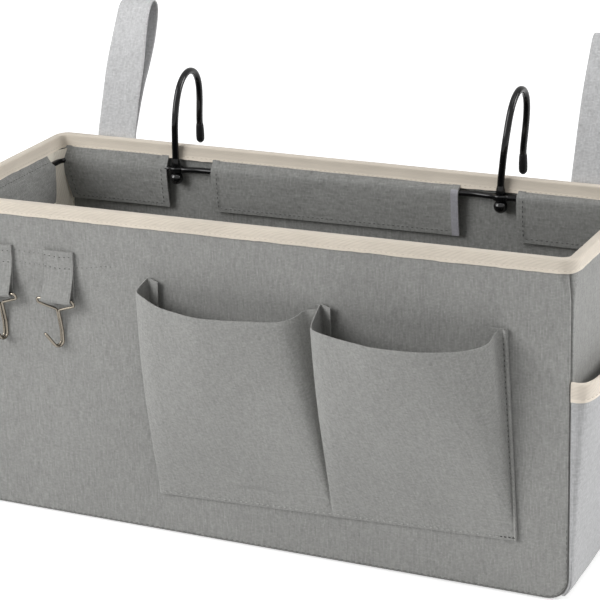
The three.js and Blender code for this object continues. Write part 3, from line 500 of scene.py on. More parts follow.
def thread(name, colour):
    """Sewing thread with its twist."""
    g = surface(name, roughness=0.7, sheen_weight=0.2, specular_ior_level=0.3)
    along, around = g.weave()
    twist = g.math("MULTIPLY_ADD", along, 9.0, g.math("MULTIPLY", around, 7.0))
    twist = g.math("MULTIPLY_ADD", g.math("SINE", twist), 0.5, 0.5)
    return g.finish(g.shades(twist, colour, 0.75, 1.2), twist, 0.00006)


def solid(name, colour, rough, spread, grain, distance, **values):
    """Coated, moulded or plated surface with fine uneven gloss and colour."""
    g = surface(name, **values)
    at = g.add("TexCoord", out=3)
    fine_grain = g.add("TexNoise", inputs={"Vector": at, "Scale": grain, "Detail": 4.0})
    broad = g.add("TexNoise", inputs={"Vector": at, "Scale": 90.0, "Detail": 3.0})
    rough = g.math("MULTIPLY_ADD", broad, spread, rough - spread / 2)
    return g.finish(g.shades(broad, colour, 0.86, 1.12, 0.3, 0.7), fine_grain, distance, 0.4, rough)


PANEL = woven("panel linen", (0.295, 0.295, 0.284), 0.85, 0.75, 0.5, 0.45)
POCKET = woven("pocket linen", (0.305, 0.305, 0.293), 0.8, 0.5, 0.6, 0.55, 0.00015)
# The lining is the outer panels' linen with its colour painted darker: painted shade for the inside of the box.
LINING_PAINTED_DARKER = woven("lining linen painted darker", (0.262, 0.264, 0.254), 0.95, 0.8, 0.8, 0.5)
WEBBING = woven("pale webbing", (0.465, 0.467, 0.472), 0.9, 0.5, 0.5, 0.45)
STRAP = woven("strap webbing", (0.57, 0.572, 0.578), 0.9, 0.5, 0.6, 0.45)
SELVEDGE = woven("pale selvedge", (0.36, 0.355, 0.385), 0.8, 0.4, 0.4, 0.3)
RIM_TAPE = twill("cream rim tape", (0.71, 0.64, 0.545), 21.0, smooth_from=11.0)
POCKET_TAPE = twill("cream pocket tape", (0.8, 0.72, 0.62), 23.0)
# The seam tape is cream tape like the rim's, its colour painted paler to make up for the shade in the box's corners:
# painted light.
SEAM_TAPE_PAINTED_PALER = twill("cream seam tape painted paler", (0.93, 0.84, 0.73), 17.0)
GREY_THREAD = thread("grey thread", (0.07, 0.07, 0.068))
# The rows' thread is painted darker where it crosses the tabs: painted shade of the stitch holes.
TAB_THREAD_PAINTED_DARKER = thread("tab thread painted darker", (0.11, 0.11, 0.106))
PANEL_THREAD = thread("panel thread", (0.17, 0.17, 0.163))
POCKET_THREAD = thread("pocket thread", (0.41, 0.41, 0.397))
SOFT_THREAD = thread("pale grey thread", (0.26, 0.26, 0.25))
CREAM_THREAD = thread("cream thread", (0.6, 0.53, 0.44))
BLACK_WIRE = solid("black coated wire", (0.003, 0.003, 0.0034), 0.08, 0.05, 900.0, 0.00001, specular_ior_level=0.3)
BEAD = solid("black glossy ball", (0.003, 0.003, 0.0034), 0.05, 0.03, 900.0, 0.000005, specular_ior_level=0.5)
RUBBER = solid("black rubber", (0.004, 0.004, 0.0045), 0.45, 0.2, 2500.0, 0.00003, specular_ior_level=0.15)
NICKEL = solid("nickel wire", (0.25, 0.222, 0.182), 0.08, 0.08, 1500.0, 0.00001, metallic=1.0)
BOARD = solid("grey board", (0.25, 0.21, 0.16), 0.9, 0.1, 700.0, 0.00005)


# The box: panels sewn to a strip round them, and the same again in the lining

def edge_depth(x, z, w, z0, r):
    """Distance in from a panel's outline, which is open at the top."""
    ax = np.abs(x)
    corner = (ax > w - r) & (z < z0 + r)
    round_in = r - np.hypot(ax - (w - r), z0 + r - z)
    return np.where(corner, round_in, np.minimum(w - ax, z - z0))


def rolled(d, e, notch):
    """How far a rolled edge lies behind the face; just before the seam the cloth turns straight in."""
    share = SEAM_SHARE * e + notch
    near = np.clip(d, share, e)
    return e - np.sqrt(np.maximum(e ** 2 - (e - near) ** 2, 0)) + TURN_IN * np.maximum(share - d, 0)


def face_grid(inset, sign, swell, radius, notch=0.0):
    """Grid of a front (sign -1) or back (sign 1) panel, and its uv."""
    w, d, z0, r = HALF_W - inset, HALF_D - inset, inset, BASE_R - inset
    least = SEAM_SHARE * (radius(0.0) - inset) - GROOVE
    side = w - r + (r - least) * np.sin(np.radians(np.linspace(90, 6, 15)))
    x = np.concatenate([-side, np.linspace(-(w - r), w - r, 91), side[::-1]])
    ax = np.abs(x)
    low = z0 + r - np.sqrt(np.maximum((r - least) ** 2 - np.maximum(ax - (w - r), 0) ** 2, 0))
    share = np.concatenate([np.linspace(0, 1, 12)[:-1] ** 1.5 * 0.045, np.linspace(0.045, 1, 56)])
    z = low[:, None] + (WALL_TOP - low)[:, None] * share[None]
    e = radius(z) - inset
    draw_in = (SEAM_SHARE * e - GROOVE - least) * smooth((ax - (w - r)) / r)[:, None]
    x = np.sign(x)[:, None] * (ax[:, None] - draw_in)
    depth = edge_depth(x, z, w, z0, r)
    y = d - rolled(depth, e, notch) + swell(x, z) * smooth((depth - 3) / 25)
    uv = np.stack([x, z], -1)
    if notch:
        under = UNDERCUT * np.maximum(SEAM_SHARE * e + notch - depth, 0)
        to_x, to_z = np.sign(x) * (w - r) - x, z0 + r - z
        corner = (np.abs(x) > w - r) & (z < z0 + r)
        side = (w - np.abs(x) < z - z0) & ~corner
        far = np.maximum(np.hypot(to_x, to_z), 1e-6)
        x = x + under * np.where(corner, to_x / far, np.where(side, -np.sign(x), 0))
        z = z + under * np.where(corner, to_z / far, np.where(side, 0, 1))
    return np.stack([x, sign * y, z], -1), uv


def strip_grid(inset, top, swell, radius, notch=0.0):
    """Grid of the strip down one side, along the base and up the other, and its uv."""
    w, d, z0, r = HALF_W - inset, HALF_D - inset, inset, BASE_R - inset
    z = np.linspace(top, z0 + r, 56)
    angle = np.linspace(math.pi, 1.5 * math.pi, 12)[1:-1]
    c, s = np.cos(angle), np.sin(angle)
    bx = np.linspace(-(w - r), w - r, 60)
    left = [np.stack([0 * z - w, z, 0 * z - 1, 0 * z], -1), np.stack([-(w - r) + r * c, z0 + r + r * s, c, s], -1)]
    base = np.stack([bx, 0 * bx + z0, 0 * bx, 0 * bx - 1], -1)
    right = [k[::-1] * (-1, 1, -1, 1) for k in reversed(left)]
    path = np.concatenate([*left, base, *right])
    e = (radius(path[:, 1]) - inset)[:, None]
    edge = np.linspace(0, 1, 9)[None] ** 1.5 * (e + GROOVE - SEAM_SHARE * e) + SEAM_SHARE * e - GROOVE
    half = d - edge
    share = np.linspace(-1, 1, 22)[None, 1:-1]
    across = np.concatenate([-half, half[:, -1:] * share, half[:, ::-1]], 1)
    run = np.broadcast_to(run_of(path[:, :2])[:, None], across.shape)
    depth = d - np.abs(across)
    off = swell(run, across) * smooth((depth - 3) / 20) - rolled(depth, e, notch)
    uv = np.stack([across, run], -1)
    if notch:
        across = across - np.sign(across) * UNDERCUT * np.maximum(SEAM_SHARE * e + notch - depth, 0)
    return np.stack([path[:, :1] + path[:, 2:3] * off, across, path[:, 1:2] + path[:, 3:4] * off], -1), uv


def panel_swell(x, z):
    return 0.6 * lumps(x, z, 70, 3.1) * smooth((178 - z) / 20) * smooth((x + 75) / 30)


def flat_swell(x, z):
    return 0 * x


def inner_swell(x, z):
    return -0.6 * np.abs(lumps(x, z, 55, 7.7)) * smooth((150 - z) / 20)


def strip_swell(s, y):
    """Slack in the side walls above the pockets."""
    below_rim = np.minimum(s, STRIP_RUN - s)
    return 0.5 * lumps(s, y, 30, 12.0) * between(below_rim, 12, 14, 72, 14)


def add_box():
    boards = ["left_board", "right_board", "base_board"]
    outer, inner = OUTER_T / 2, WALL_T - LINING_T / 2
    for tag, sign in FACES:
        g, uv = face_grid(outer, sign, panel_swell if sign < 0 else flat_swell, edge_radius, NOTCH)
        sheet(f"{tag}_panel_cloth", cloth(g, OUTER_T, uv), PANEL, "grey_linen", [f"{tag}_panel"],
              (0.403, 0.203), "stretched", [f"{tag}_board"], lifted=True)
        g, uv = face_grid(inner, sign, inner_swell, lining_radius)
        sheet(f"{tag}_lining_cloth", cloth(g, LINING_T, uv), LINING_PAINTED_DARKER, "lining_linen", [f"{tag}_lining"],
              (0.394, 0.196), "stretched", [f"{tag}_board"], lifted=True)
    g, uv = strip_grid(outer, WALL_TOP, strip_swell, edge_radius, NOTCH)
    sheet("gusset_cloth", cloth(g, OUTER_T, uv), PANEL, "grey_linen", ["gusset_strip"],
          (0.143, 0.785), "stretched", boards, lifted=True)
    g, uv = strip_grid(inner, WALL_TOP, flat_swell, lining_radius)
    sheet("lining_gusset_cloth", cloth(g, LINING_T, uv), LINING_PAINTED_DARKER, "lining_linen", ["lining_gusset"],
          (0.136, 0.765), "stretched", boards, lifted=True)


def rim_path():
    """Stations round the rim on the walls' outer faces: position and outward direction."""
    cx, cy = HALF_W - RIM_R, HALF_D - RIM_R
    corners = [(cx, cy), (-cx, cy), (-cx, -cy), (cx, -cy)]
    stations = []
    for n, ((x, y), (next_x, next_y)) in enumerate(zip(corners, corners[1:] + corners[:1])):
        turn = np.linspace(n, n + 1, RIM_STEPS["corner"]) * math.pi / 2
        stations += [(x, y, math.cos(a), math.sin(a)) for a in turn]
        ahead = math.cos(turn[-1]), math.sin(turn[-1])
        for t in np.linspace(0, 1, RIM_STEPS["short side" if n % 2 else "long side"])[1:-1]:
            stations.append((x + (next_x - x) * t, y + (next_y - y) * t, *ahead))
    k = np.array(stations)
    return k[:, :2] + k[:, 2:] * RIM_R, k[:, 2:]


def add_binding():
    """Twill tape folded over the rim, a little full between its edge stitches and its fold."""
    # Section of the tape, (off the wall's outer face, height): up the outside, over the rim, down the inside
    legs = np.linspace(0, 1, 9)
    full = np.sin(math.pi * legs)
    out_leg = np.stack([0.62 + 0.3 * full - 0.12 * (legs < 0.1), BINDING_EDGE_Z + 6.5 * legs], -1)
    in_leg = np.stack([-4.42 - 0.22 * full - 1.1 * (1 - legs) ** 2, BINDING_EDGE_Z - 0.3 + 6.8 * legs], -1)
    crown = np.radians(np.linspace(12, 168, 13))
    top = np.stack([-1.9 + 2.52 * np.sign(np.cos(crown)) * np.abs(np.cos(crown)) ** 0.7,
                    198.4 + 1.25 * np.sin(crown) ** 0.6], -1)
    section = np.concatenate([out_leg, top, in_leg[::-1]])
    base, normal = rim_path()
    run = run_of(base)
    wave = 0.45 * lumps(run, 0, 22, 4.0) + 0.35 * lumps(run, 0, 6, 9.0)
    sway = 0.3 * lumps(run, 0, 40, 14.0)
    low, high = smooth((196 - section[:, 1]) / 4), smooth((section[:, 1] - 193) / 6)
    g = np.zeros((len(base), len(section), 3))
    g[..., :2] = base[:, None] + normal[:, None] * (section[None, :, :1] + sway[:, None, None] * 0.4)
    g[..., 2] = section[None, :, 1] + wave[:, None] * low[None] + 0.25 * sway[:, None]
    g[..., 2] += 0.9 * np.clip(normal[:, 1:], 0, 1) * high[None]
    sheet("rim_binding_tape", cloth(g, TAPE_T, closed=True), RIM_TAPE, "cream_tape", ["rim_binding"],
          (0.021, 1.088), "folded", ["front_panel_cloth", "back_panel_cloth", "gusset_cloth"], lifted=True)
    rows = []
    loop = np.concatenate([np.arange(len(base)), [0]])
    for out, way in ((1.1, 1), (-5.45, -1)):
        at = base + normal * (out + 0.4 * sway[:, None])
        path = np.concatenate([at, (BINDING_EDGE_Z + 1.6 + wave * 0.8)[:, None]], 1)[loop]
        rows.append(stitches(path, np.concatenate([normal * way, 0 * normal[:, :1]], 1)[loop], "rim"))
    piece("rim_binding_stitches", rows, CREAM_THREAD, "cream_tape", lifted=True)


# Wire frame, sleeves and hanger hooks

def add_wire_frame():
    """One rod round the rim and one between the hooks, joined by two flattened eyes."""
    end, start = HOOK_X - EYE_REACH, HOOK_X + EYE_REACH
    sx = np.linspace(-end, end, 90)
    short = np.stack([sx, ROD_Y + ROD_IN * smooth((end - np.abs(sx)) / 14), np.full(90, ROD_Z)], -1)
    x, back, front, z = ROD_X + 2 * ROD_IN, ROD_Y + ROD_IN, -ROD_Y - 2 * ROD_IN, ROD_Z
    half = [(start, ROD_Y, z), (start + 16, back, z, 20), (x, back, z, ROD_BEND), (x, front, z, ROD_BEND)]
    ring = half + [(-k[0], *k[1:]) for k in reversed(half)]
    parts = [tube(short, ROD_R), tube(fine(bent(ring, 8), 2.0), ROD_R)]
    angle = np.linspace(0, 2 * math.pi, 49)[:-1]
    turn = np.stack([np.cos(angle), np.sin(angle)], -1)[:, None]
    share, height = np.array(EYE_SECTION).T[..., None]
    for hx in (-HOOK_X, HOOK_X):
        plan = (hx, ROD_Y) + turn * (EYE_BORE_R + (np.array(EYE_R) - EYE_BORE_R) * share)
        rings = np.concatenate([plan, np.broadcast_to(z + EYE_HALF_T * height, (*plan.shape[:2], 1))], -1)
        parts.append(loft(rings, np.zeros((len(angle) + 1, len(share), 2)), closed=True))
    parts = [(raised(v, rod_lift(v[:, 0])), q, uv) for v, q, uv in parts]
    piece("rod_frame", parts, BLACK_WIRE, "black_wire", stands_for=["wire_frame"])


def add_hanger(side):
    """Hook of black wire with a collar above the eye, a ball under it and a rubber cap on the tip."""
    body, (bow, lean) = f"{side}_hanger", HOOK_LEAN[side]
    x = -HOOK_X if side == "left" else HOOK_X
    spin = spun(HOOK_TURN[side])
    sink = float(rod_lift(x))

    def place(part, down=0.0):
        v, q, uv = part
        return v @ spin.T + (x, ROD_Y, down), q, uv

    bend = [(0, out * HOOK_REACH, RIM_Z + up * HOOK_RISE[side]) for out, up in HOOK_BEND]
    path = [[(0, 0, HOOK_LOW + sink), (0, 0, 192)], spline(bend, 90), [(0, HOOK_REACH, HOOK_TIP)]]
    path = fine(np.concatenate(path), 1.4)
    share = np.clip((np.arange(len(path)) - 10) / (len(path) - 20), 0, 1)
    path[:, 0] = bow * np.sin(math.pi * share) + lean * smooth(share * 3)
    hook = [place(tube(path, HOOK_R, 20)), place(lathe(COLLAR), sink)]
    piece(f"{side}_hook_wire", hook, BLACK_WIRE, "black_wire", body, [f"hanger_hook_{side}"], 40)
    ball = [*arc(BALL_R, -88, 57, 22, (0, BALL_Z)), *BALL_BORE]
    piece(f"{side}_hook_bead", place(lathe(ball), sink), BEAD, "black_wire", body, [f"hook_ball_{side}"])
    cap = lathe([*arc(CAP_R, -86, 0, 12, (0, CAP_Z)), *CAP_SIDE], (lean, HOOK_REACH, 0))
    piece(f"{side}_hook_tip", place(cap), RUBBER, "black_rubber", body, [f"hook_cap_{side}"])


def add_sleeves():
    """Cloth sleeves that hold the rod; those on the back wall are hemmed, with stitches inside each hem."""
    rows = []
    end_x, end_y = ROD_X - ROD_BEND, ROD_Y - ROD_BEND
    wall_x, wall_y = HALF_W - WALL_T, HALF_D - WALL_T
    spans = [("rod_sleeve_left", -188.6, -116.2, wall_y, 0), ("rod_sleeve_middle", -84.5, 83.2, wall_y, 0),
             ("rod_sleeve_right", 120.5, end_x, wall_y, 0), ("rod_channel_left", -end_y, 50.0, wall_x, 90),
             ("rod_channel_front", -end_x, end_x, wall_y, 180), ("rod_channel_right", -end_y, end_y, wall_x, 270)]
    off, z = spline(SLEEVE_LINE, 56).T
    low = z - SLEEVE_LOW
    hem_steps = np.array((0.4, HEM - 0.6, HEM, HEM + 0.4))
    for n, (name, x0, x1, wall, turn) in enumerate(spans):
        hemmed = "sleeve" in name
        steps = np.linspace(x0, x1, max(12, int((x1 - x0) / 3)))
        x = np.unique(np.concatenate([steps, x0 + hem_steps, x1 - hem_steps]))
        sag = 0.7 * lumps(x[:, None], z, 30, 2.0 + n) * between(z, SLEEVE_LOW + 1, 10, 188, 6)
        g = np.zeros((len(x), len(z), 3))
        g[..., 0] = x[:, None]
        if name == "rod_sleeve_left":
            g[..., 0] -= 4.2 * smooth(low / 24) * (1 - smooth((x[:, None] - x0) / 24))
        if name == "rod_channel_left":
            g[..., 0] -= 5.0 * smooth((z - 186) / 6) * (1 - smooth((x1 - x[:, None]) / 24))
        g[..., 1] = wall - off * (1.0 if hemmed else 0.8) - sag
        g[..., 2] = z
        spin = spun(turn)
        in_hem = (np.minimum(x - x0, x1 - x) < HEM + 0.2)[:, None] | (low < 3.0)
        thick = np.where(in_hem & hemmed, 1.15, 0.8)
        g = g @ spin.T
        g[..., 2] += rod_lift(g[..., 0]) * between(z, SLEEVE_LOW - 12, 22, SLEEVE_LINE[0][1], 4.5)
        sheet(name.replace("rod_", "") + "_cloth", cloth(g, thick), LINING_PAINTED_DARKER, "lining_linen", [name],
              ((x1 - x0) / 1000, 0.0395), "folded", ["rod_frame"])
        out = spin @ (0, -1, 0)
        face = g + out * (thick[..., None] / 2)
        if name == "rod_channel_left":
            rows.append(stitches(face[:, np.argmin(np.abs(z - 190.2))], out, "channel"))
        if not hemmed:
            continue
        rows.append(stitches(face[4:-4, np.argmin(np.abs(low - 2.2))], out, "sleeve hem"))
        for at in (x0 + HEM - 0.6, x1 - HEM + 0.6):
            end = face[np.argmin(np.abs(x - at))]
            rows.append(stitches(end[(z < 188) & (low > 2)], out, "sleeve end"))
        if name == "rod_sleeve_middle":
            strip = np.stack([face[-k, 8:] + out * 0.1 for k in (5, 4, 3, 2, 1)])
            piece("sleeve_middle_selvedge", cloth(strip, 0.35), SELVEDGE, "lining_linen")
    piece("sleeve_stitches", rows, GREY_THREAD, "lining_linen")


def add_seam_tapes():
    """Cream tape flat across the lining's seams, down the corners and along the floor; it splays under the rim."""
    g, _ = strip_grid(WALL_T, BINDING_EDGE_Z - 0.3, flat_swell, lining_radius)
    middle = g[:, g.shape[1] // 2]
    out = np.gradient(middle, axis=0)
    inward = unit(np.stack([-out[:, 2], 0 * out[:, 0], out[:, 0]], -1))
    if inward[0, 0] < 0:
        inward = -inward
    splay = 1 + 0.9 * smooth((middle[:, 2] - 181) / 10)
    across = [(5.6 - 4.85 * t, 0.8 + 12.2 * t, 1) for t in np.linspace(0, 1, 11)]
    legs = [(6.4, 0.5, 1), (6.0, 0.55, 1)] + across + [(0.55, y, splay) for y in (14.0, 15.4, 16.8, 18.2)]
    for tag, sign in FACES:
        g = np.zeros((len(middle), len(legs), 3))
        for k, (off, y, spread) in enumerate(legs):
            g[:, k] = middle + inward * off
            g[:, k, 1] = sign * (HALF_D - WALL_T - y * spread)
        sheet(f"{tag}_seam_tape", cloth(g, 0.6), SEAM_TAPE_PAINTED_PALER, "cream_tape", [f"seam_tape_{tag}"],
              (0.0185, 0.75), "folded", ["lining_gusset_cloth", f"{tag}_lining_cloth"], lifted=True)
        rows = []
        for k, n in ((1, (0, -sign, 0)), (len(legs) - 2, inward)):
            n = np.broadcast_to(n, inward.shape)
            rows.append(stitches(g[:, k] + n * 0.32, n, "seam tape"))
        piece(f"{tag}_seam_tape_stitches", rows, CREAM_THREAD, "cream_tape", lifted=True)


# Pockets

def pocket_base(x):
    """Height of the front pockets' stitched bottom, which climbs to the right."""
    return POCKET_Z0 + POCKET_RISE * (x - POCKET_X["left"]) / POCKET_RUN


def pocket_grid(side):
    """Points of a bellows pocket: rows from the stitched bottom to the lip, columns round the front."""
    lip = np.array(LIPS[side])
    left = side == "left"
    bow, fuller = (25.0, 0.14) if left else (32.0, 0.1)
    flare = POCKET_FLARE[side]
    counts = (9, 16, 130, 14, 8)
    tip_w = POCKET_W - flare
    turn_in = smooth((lip[:, 0] - 50) / 40)
    g = []
    for t in np.linspace(0, 1, 76):
        # How far this row has opened, and where its left fold and the seam behind that lie
        open_ = (smooth(t) + 2 * t) / 3
        w = POCKET_W + flare * (1 - 2 * t)
        belly = 4 * t * (1 - t)
        fold_x = 1.6 * (1 - t) - 2.6 * t - 1.6 * belly if left else 1.8 * (1 - t) - 0.7 * t - 0.6 * belly
        seam_x, seam = 0.0 if left else -3.4 * t, 0.45 + 0.85 * open_
        # The front: the lip drawn in towards the bottom, its right end gathered to the seam there
        off = (lip[:, 1] - POCKET_LIE) * (open_ + fuller * belly * (1 - smooth(lip[:, 0] / 60)))
        squeeze = 0.22 + 0.78 * open_
        if left:
            off = off - 0.45 * off * smooth((1 - t) / 0.12) * smooth((lip[:, 0] - 97) / 6)
            away = lip[-1, 0] - lip[:, 0]
            tail = np.minimum(away, 7) * (0.1 + 0.9 * open_) + np.maximum(away - 7, 0) * squeeze
            near = w - 0.4 + 3.0 * (1 - open_) + 2.0 * (1 - t) ** 6 + 5 * t * (1 - t) - tail
        else:
            near = w - (tip_w - lip[:, 0]) * squeeze
        off = off + POCKET_LIE
        x = lip[:, 0] * w / tip_w * (1 - turn_in) + near * turn_in
        x += fold_x * (1 - smooth(x / 40))
        front = spline(np.stack([x, off], -1), counts[2])
        # The right edge: flat on the left pocket, a piped ridge on the right one
        last = front[-1]
        if left:
            end = (last[0] + 0.3, 0.6)
            edge = [last, (last[0] + 0.5, last[1] * 0.75), end]
        else:
            ridge = 1.7 + 1.4 * open_
            end = (w + 0.4, 0.9 + 0.5 * open_)
            edge = [last, (w - 0.8, ridge - 0.5), (w - 0.2, ridge + 0.1), (w + 0.3, ridge + 0.1),
                    (w + 0.6, ridge * 0.75), (w + 0.6, 1.3), end]
        flap = (seam_x + 0.8 + 6.7 * open_, seam + lip[0, 1] * 0.13 * open_)
        hidden = (end[0] - 1 - 8 * open_, 0.5 + (1.0 if left else 2.0) * open_)
        lines = [np.linspace(flap, (seam_x, seam), counts[0]), np.linspace((seam_x, seam), (fold_x, off[0]), counts[1]),
                 front, spline(edge, counts[3]), np.linspace(end, hidden, counts[4])]
        # One line through all of them, softened round the fold
        line = relaxed(np.concatenate([lines[0]] + [k[1:] for k in lines[1:]]))
        from_fold = np.arange(len(line)) - counts[0] - counts[1] + 2
        soft = np.exp(-(from_fold / 7) ** 2)[1:-1, None] * smooth((t - 0.4) / 0.6)
        for _ in range(9):
            line[1:-1] += soft * (line[:-2] - 2 * line[1:-1] + line[2:]) / 4
        # Heights: the further the cloth stands off, the lower it hangs
        x = POCKET_X[side] + line[:, 0]
        base = pocket_base(x)
        z = base + (POCKET_Z1 - base) * t - 9 * (line[:, 1] / bow) * t
        z += (3.0 if left else 0.6) * t ** 3 * (1 - smooth(line[:, 0] / 20))
        at_fold = np.exp(-((line[:, 0] - fold_x) / 6) ** 2) * np.clip(line[:, 1] / lip[0, 1], 0, 1) ** 2
        z -= 1.3 * t ** 6 * at_fold
        g.append(np.stack([x, -HALF_D - line[:, 1], z], -1))
    return np.array(g), np.cumsum([0] + [c - 1 for c in counts])


def add_pocket(side):
    """Front pocket with gentle wrinkles; the left one also has a crease near its lower right corner."""
    g, marks = pocket_grid(side)
    rows = np.linspace(0, 1, len(g))[:, None]
    column = np.arange(g.shape[1])[None]
    x, _, z = np.moveaxis(g, -1, 0)
    on_front = between(column, marks[2], 14, marks[3] - 6, 20)
    seed = 1.0 if side == "left" else 6.0
    wrinkle = 0.8 * lumps(x, z * 0.8, 42, seed) + 0.25 * lumps(x, z, 14, seed + 3)
    if side == "left":
        crease = z - pocket_base(x) - 12.8 + 1.6 * (x + 2) / 25
        fold = 1.2 * np.exp(-((crease - 1.6) / 1.6) ** 2) - 0.8 * np.exp(-(crease / 1.1) ** 2)
        wrinkle += fold * between(x, -8, 8, 29, 8)
    g[..., 1] -= wrinkle * on_front * between(rows, 0, 0.1, 1.03, 0.1)
    thick = np.select([rows > 0.99, rows > 0.955, rows < 0.02], [0.45, 1.2, 0.7], 0.95) * np.ones_like(column)
    thick = np.where((column < marks[2] - 3) | (column > marks[4]), 0.6, thick)
    sheet(f"front_pocket_{side}_cloth", cloth(g, thick), POCKET, "pocket_linen", [f"front_pocket_{side}"],
          (0.178, 0.135), "folded", ["front_panel_cloth"], sharp=70)
    normal = grid_normals(g)
    if normal[10, (marks[2] + marks[3]) // 2, 1] > 0:
        normal = -normal
    face = g + normal * 0.42
    hem = slice(marks[2] + 2, marks[3])
    piece(f"front_pocket_{side}_hem_stitches", stitches(face[1, hem], normal[2, hem], "pocket hem"),
          POCKET_THREAD, "pocket_linen")
    if side == "right":
        groove = marks[3] + 2
        tack = face[1, :groove][face[1, :groove, 0] > face[1, groove, 0] - 9]
        dark = [stitches(face[1:-1, groove] + (0, -0.12, 0), (0, -1, 0), "pocket side"),
                stitches(tack + (0, -0.15, 0.2), (0, -1, 0), "pocket tack")]
        piece("front_pocket_right_stitches", dark, GREY_THREAD, "pocket_linen")


def add_side_pockets():
    """Pale pockets sewn into the seams at their sides: they leave each seam outwards, then run along the wall."""
    half = spline(SIDE_PLAN, 44)
    depth = 2 * HALF_D
    d = np.concatenate([half[:, 0], np.linspace(half[-1, 0], depth - half[-1, 0], 16)[1:-1], depth - half[::-1, 0]])
    off = np.concatenate([half[:, 1], np.full(14, half[-1, 1]), half[::-1, 1]])
    from_seam = np.minimum(d, depth - d)
    low = [(math.cos(a), -math.sin(a), BASE_R) for a in np.radians(np.linspace(45, 0, 8)[:-1])]
    out, up, z = np.array(low + [(1, 0, h) for h in np.linspace(BASE_R, SIDE_CLOTH_TOP, 40)]).T
    # Section of the tape, (off the cloth, height): up the outside, over its edge, down the inside
    leg = np.linspace(SIDE_TAPE_LOW, SIDE_TAPE_Z, 7)
    full = 0.12 * np.sin(np.linspace(0, math.pi, 7))
    inside = np.linspace(SIDE_TAPE_Z, SIDE_TAPE_LOW + 0.9, 7)
    section = np.concatenate([np.stack([SIDE_TAPE_HALF + full, leg], -1),
                              arc(SIDE_TAPE_HALF, 0, 180, 13, (0, SIDE_TAPE_Z))[1:-1],
                              np.stack([np.full(7, -SIDE_TAPE_HALF), inside], -1)])

    def line(z, extra=0.0):
        """Position off the wall and across it at a height, moved out by `extra`."""
        swing = np.clip((z - BASE_R) / (SIDE_POCKET_Z - BASE_R), 0, 1) ** 1.3
        lie = np.where(off > 0.3, 0.3 + (off - 0.3) * swing, off) + 0.8 * smooth(from_seam / 2.6)
        p = np.stack([lie, d - HALF_D], -1)
        t = unit(np.gradient(p, axis=0))
        return p + np.stack([t[:, 1], -t[:, 0]], -1) * extra

    for side, turn, seed in (("right", 0, 4.5), ("left", 180, 2.5)):
        spin = spun(turn)
        slack = 0.5 * smooth((from_seam - 2) / 12)
        g = np.zeros((len(d), len(z), 3))
        for k in range(len(z)):
            p = line(z[k])
            puff = lumps(d, z[k] + 20 * up[k], 26, seed) * slack
            g[:, k, 0] = HALF_W - BASE_R + out[k] * BASE_R + p[:, 0] + puff
            g[:, k, 1] = p[:, 1]
            g[:, k, 2] = z[k] + up[k] * (BASE_R + 0.8)
        sheet(f"side_pocket_{side}_cloth", cloth(g @ spin.T, 0.8), WEBBING, "pale_webbing", [f"side_pocket_{side}"],
              (0.158, 0.124), "stretched", ["gusset_cloth"])
        wave = 0.4 * lumps(d, 0, 18, seed)
        g = np.zeros((len(d), len(section), 3))
        for k, (extra, height) in enumerate(section):
            g[:, k, :2] = line(height, extra) + (HALF_W, 0)
            g[:, k, 2] = height + wave
        sheet(f"side_pocket_{side}_tape", cloth(g @ spin.T, TAPE_T), POCKET_TAPE, "cream_tape",
              [f"side_pocket_binding_{side}"], (0.0235, 0.158), "folded", [f"side_pocket_{side}_cloth"])
        path = g[5:-5, 1] + (0.4, 0, 0.2)
        piece(f"side_pocket_{side}_tape_stitches", stitches(path @ spin.T, spin @ (1, 0, 0), "side tape"),
              CREAM_THREAD, "cream_tape")


# Key tabs and hooks

def add_key_tab(side):
    """Tape folded loosely round the hook's crossbar; the front ply leans out, the fold leaves room for the swing."""
    bar = KEY_Y[side]
    lean = (TAB_FACE - bar) / 6.7
    front = [(TAB_FACE, TAB_TOP), (-73.65, 167), (-73.8, 162)]
    front += [(TAB_FACE - k * lean, z) for k, z in ((2.0, 157), (4.7, 151.5), (7.1, 147.4))]
    front = spline(front + [(bar - 1.7, KEY_Z + 0.4)], 34)
    fold = [arc(1.7, 190, 245, 7, (bar, KEY_Z)), arc(1.5, 238, 350, 13, KEY_FAR)]
    line = np.concatenate([front, *fold, spline(TAB_BACK, 34)])
    y, z = line[:, :1], line[:, 1:]
    across = np.linspace(-TAB_HALF, TAB_HALF, 17)[None]
    waist = 1 - 0.03 * np.sin(math.pi * np.clip((z - 143) / 22, 0, 1))
    puff = 0.4 * np.cos(math.pi / 2 * across / TAB_HALF) * between(z, 148, 4, 160, 6)
    in_front = (np.arange(len(line)) < len(front))[:, None]
    g = np.stack([TAB_X[side] + across * waist, y - puff * in_front, z + 0.15 * np.cos(across * 0.7)], -1)
    sheet(f"key_tab_{side}_cloth", cloth(g, TAB_T), PANEL, "pocket_linen", [f"key_tab_{side}"],
          (0.020, 0.070), "folded", ["front_panel_cloth"])


def add_key_stitches():
    """Two rows across both tabs, which run on faintly over the panel."""
    on, off = [], []
    for z, tab_y, end in KEY_ROWS:
        x = np.arange(KEY_ROW_START, end, 0.5)
        on_tab = np.zeros_like(x, bool)
        for centre in TAB_X.values():
            on_tab |= np.abs(x - centre) < TAB_HALF + 0.2
        rise = 0.3 * np.sin(x / 3) + 4.2 * np.clip((x + 110) / 28, 0, 1)
        for rows, where, y, kind in ((on, on_tab, tab_y, "tab"), (off, ~on_tab, KEY_ROW_PANEL, "tab row")):
            at = np.flatnonzero(where)
            for run in np.split(at, np.flatnonzero(np.diff(at) > 1) + 1):
                if len(run) > 9:
                    path = np.stack([x[run], np.full(len(run), y), z + rise[run]], -1)
                    rows.append(stitches(path, (0, -1, 0), kind))
    # Stitches on the tabs in the darker thread: painted shade of the stitch holes.
    piece("key_tab_stitches", on, TAB_THREAD_PAINTED_DARKER, "grey_linen")
    piece("key_row_stitches", off, PANEL_THREAD, "grey_linen")


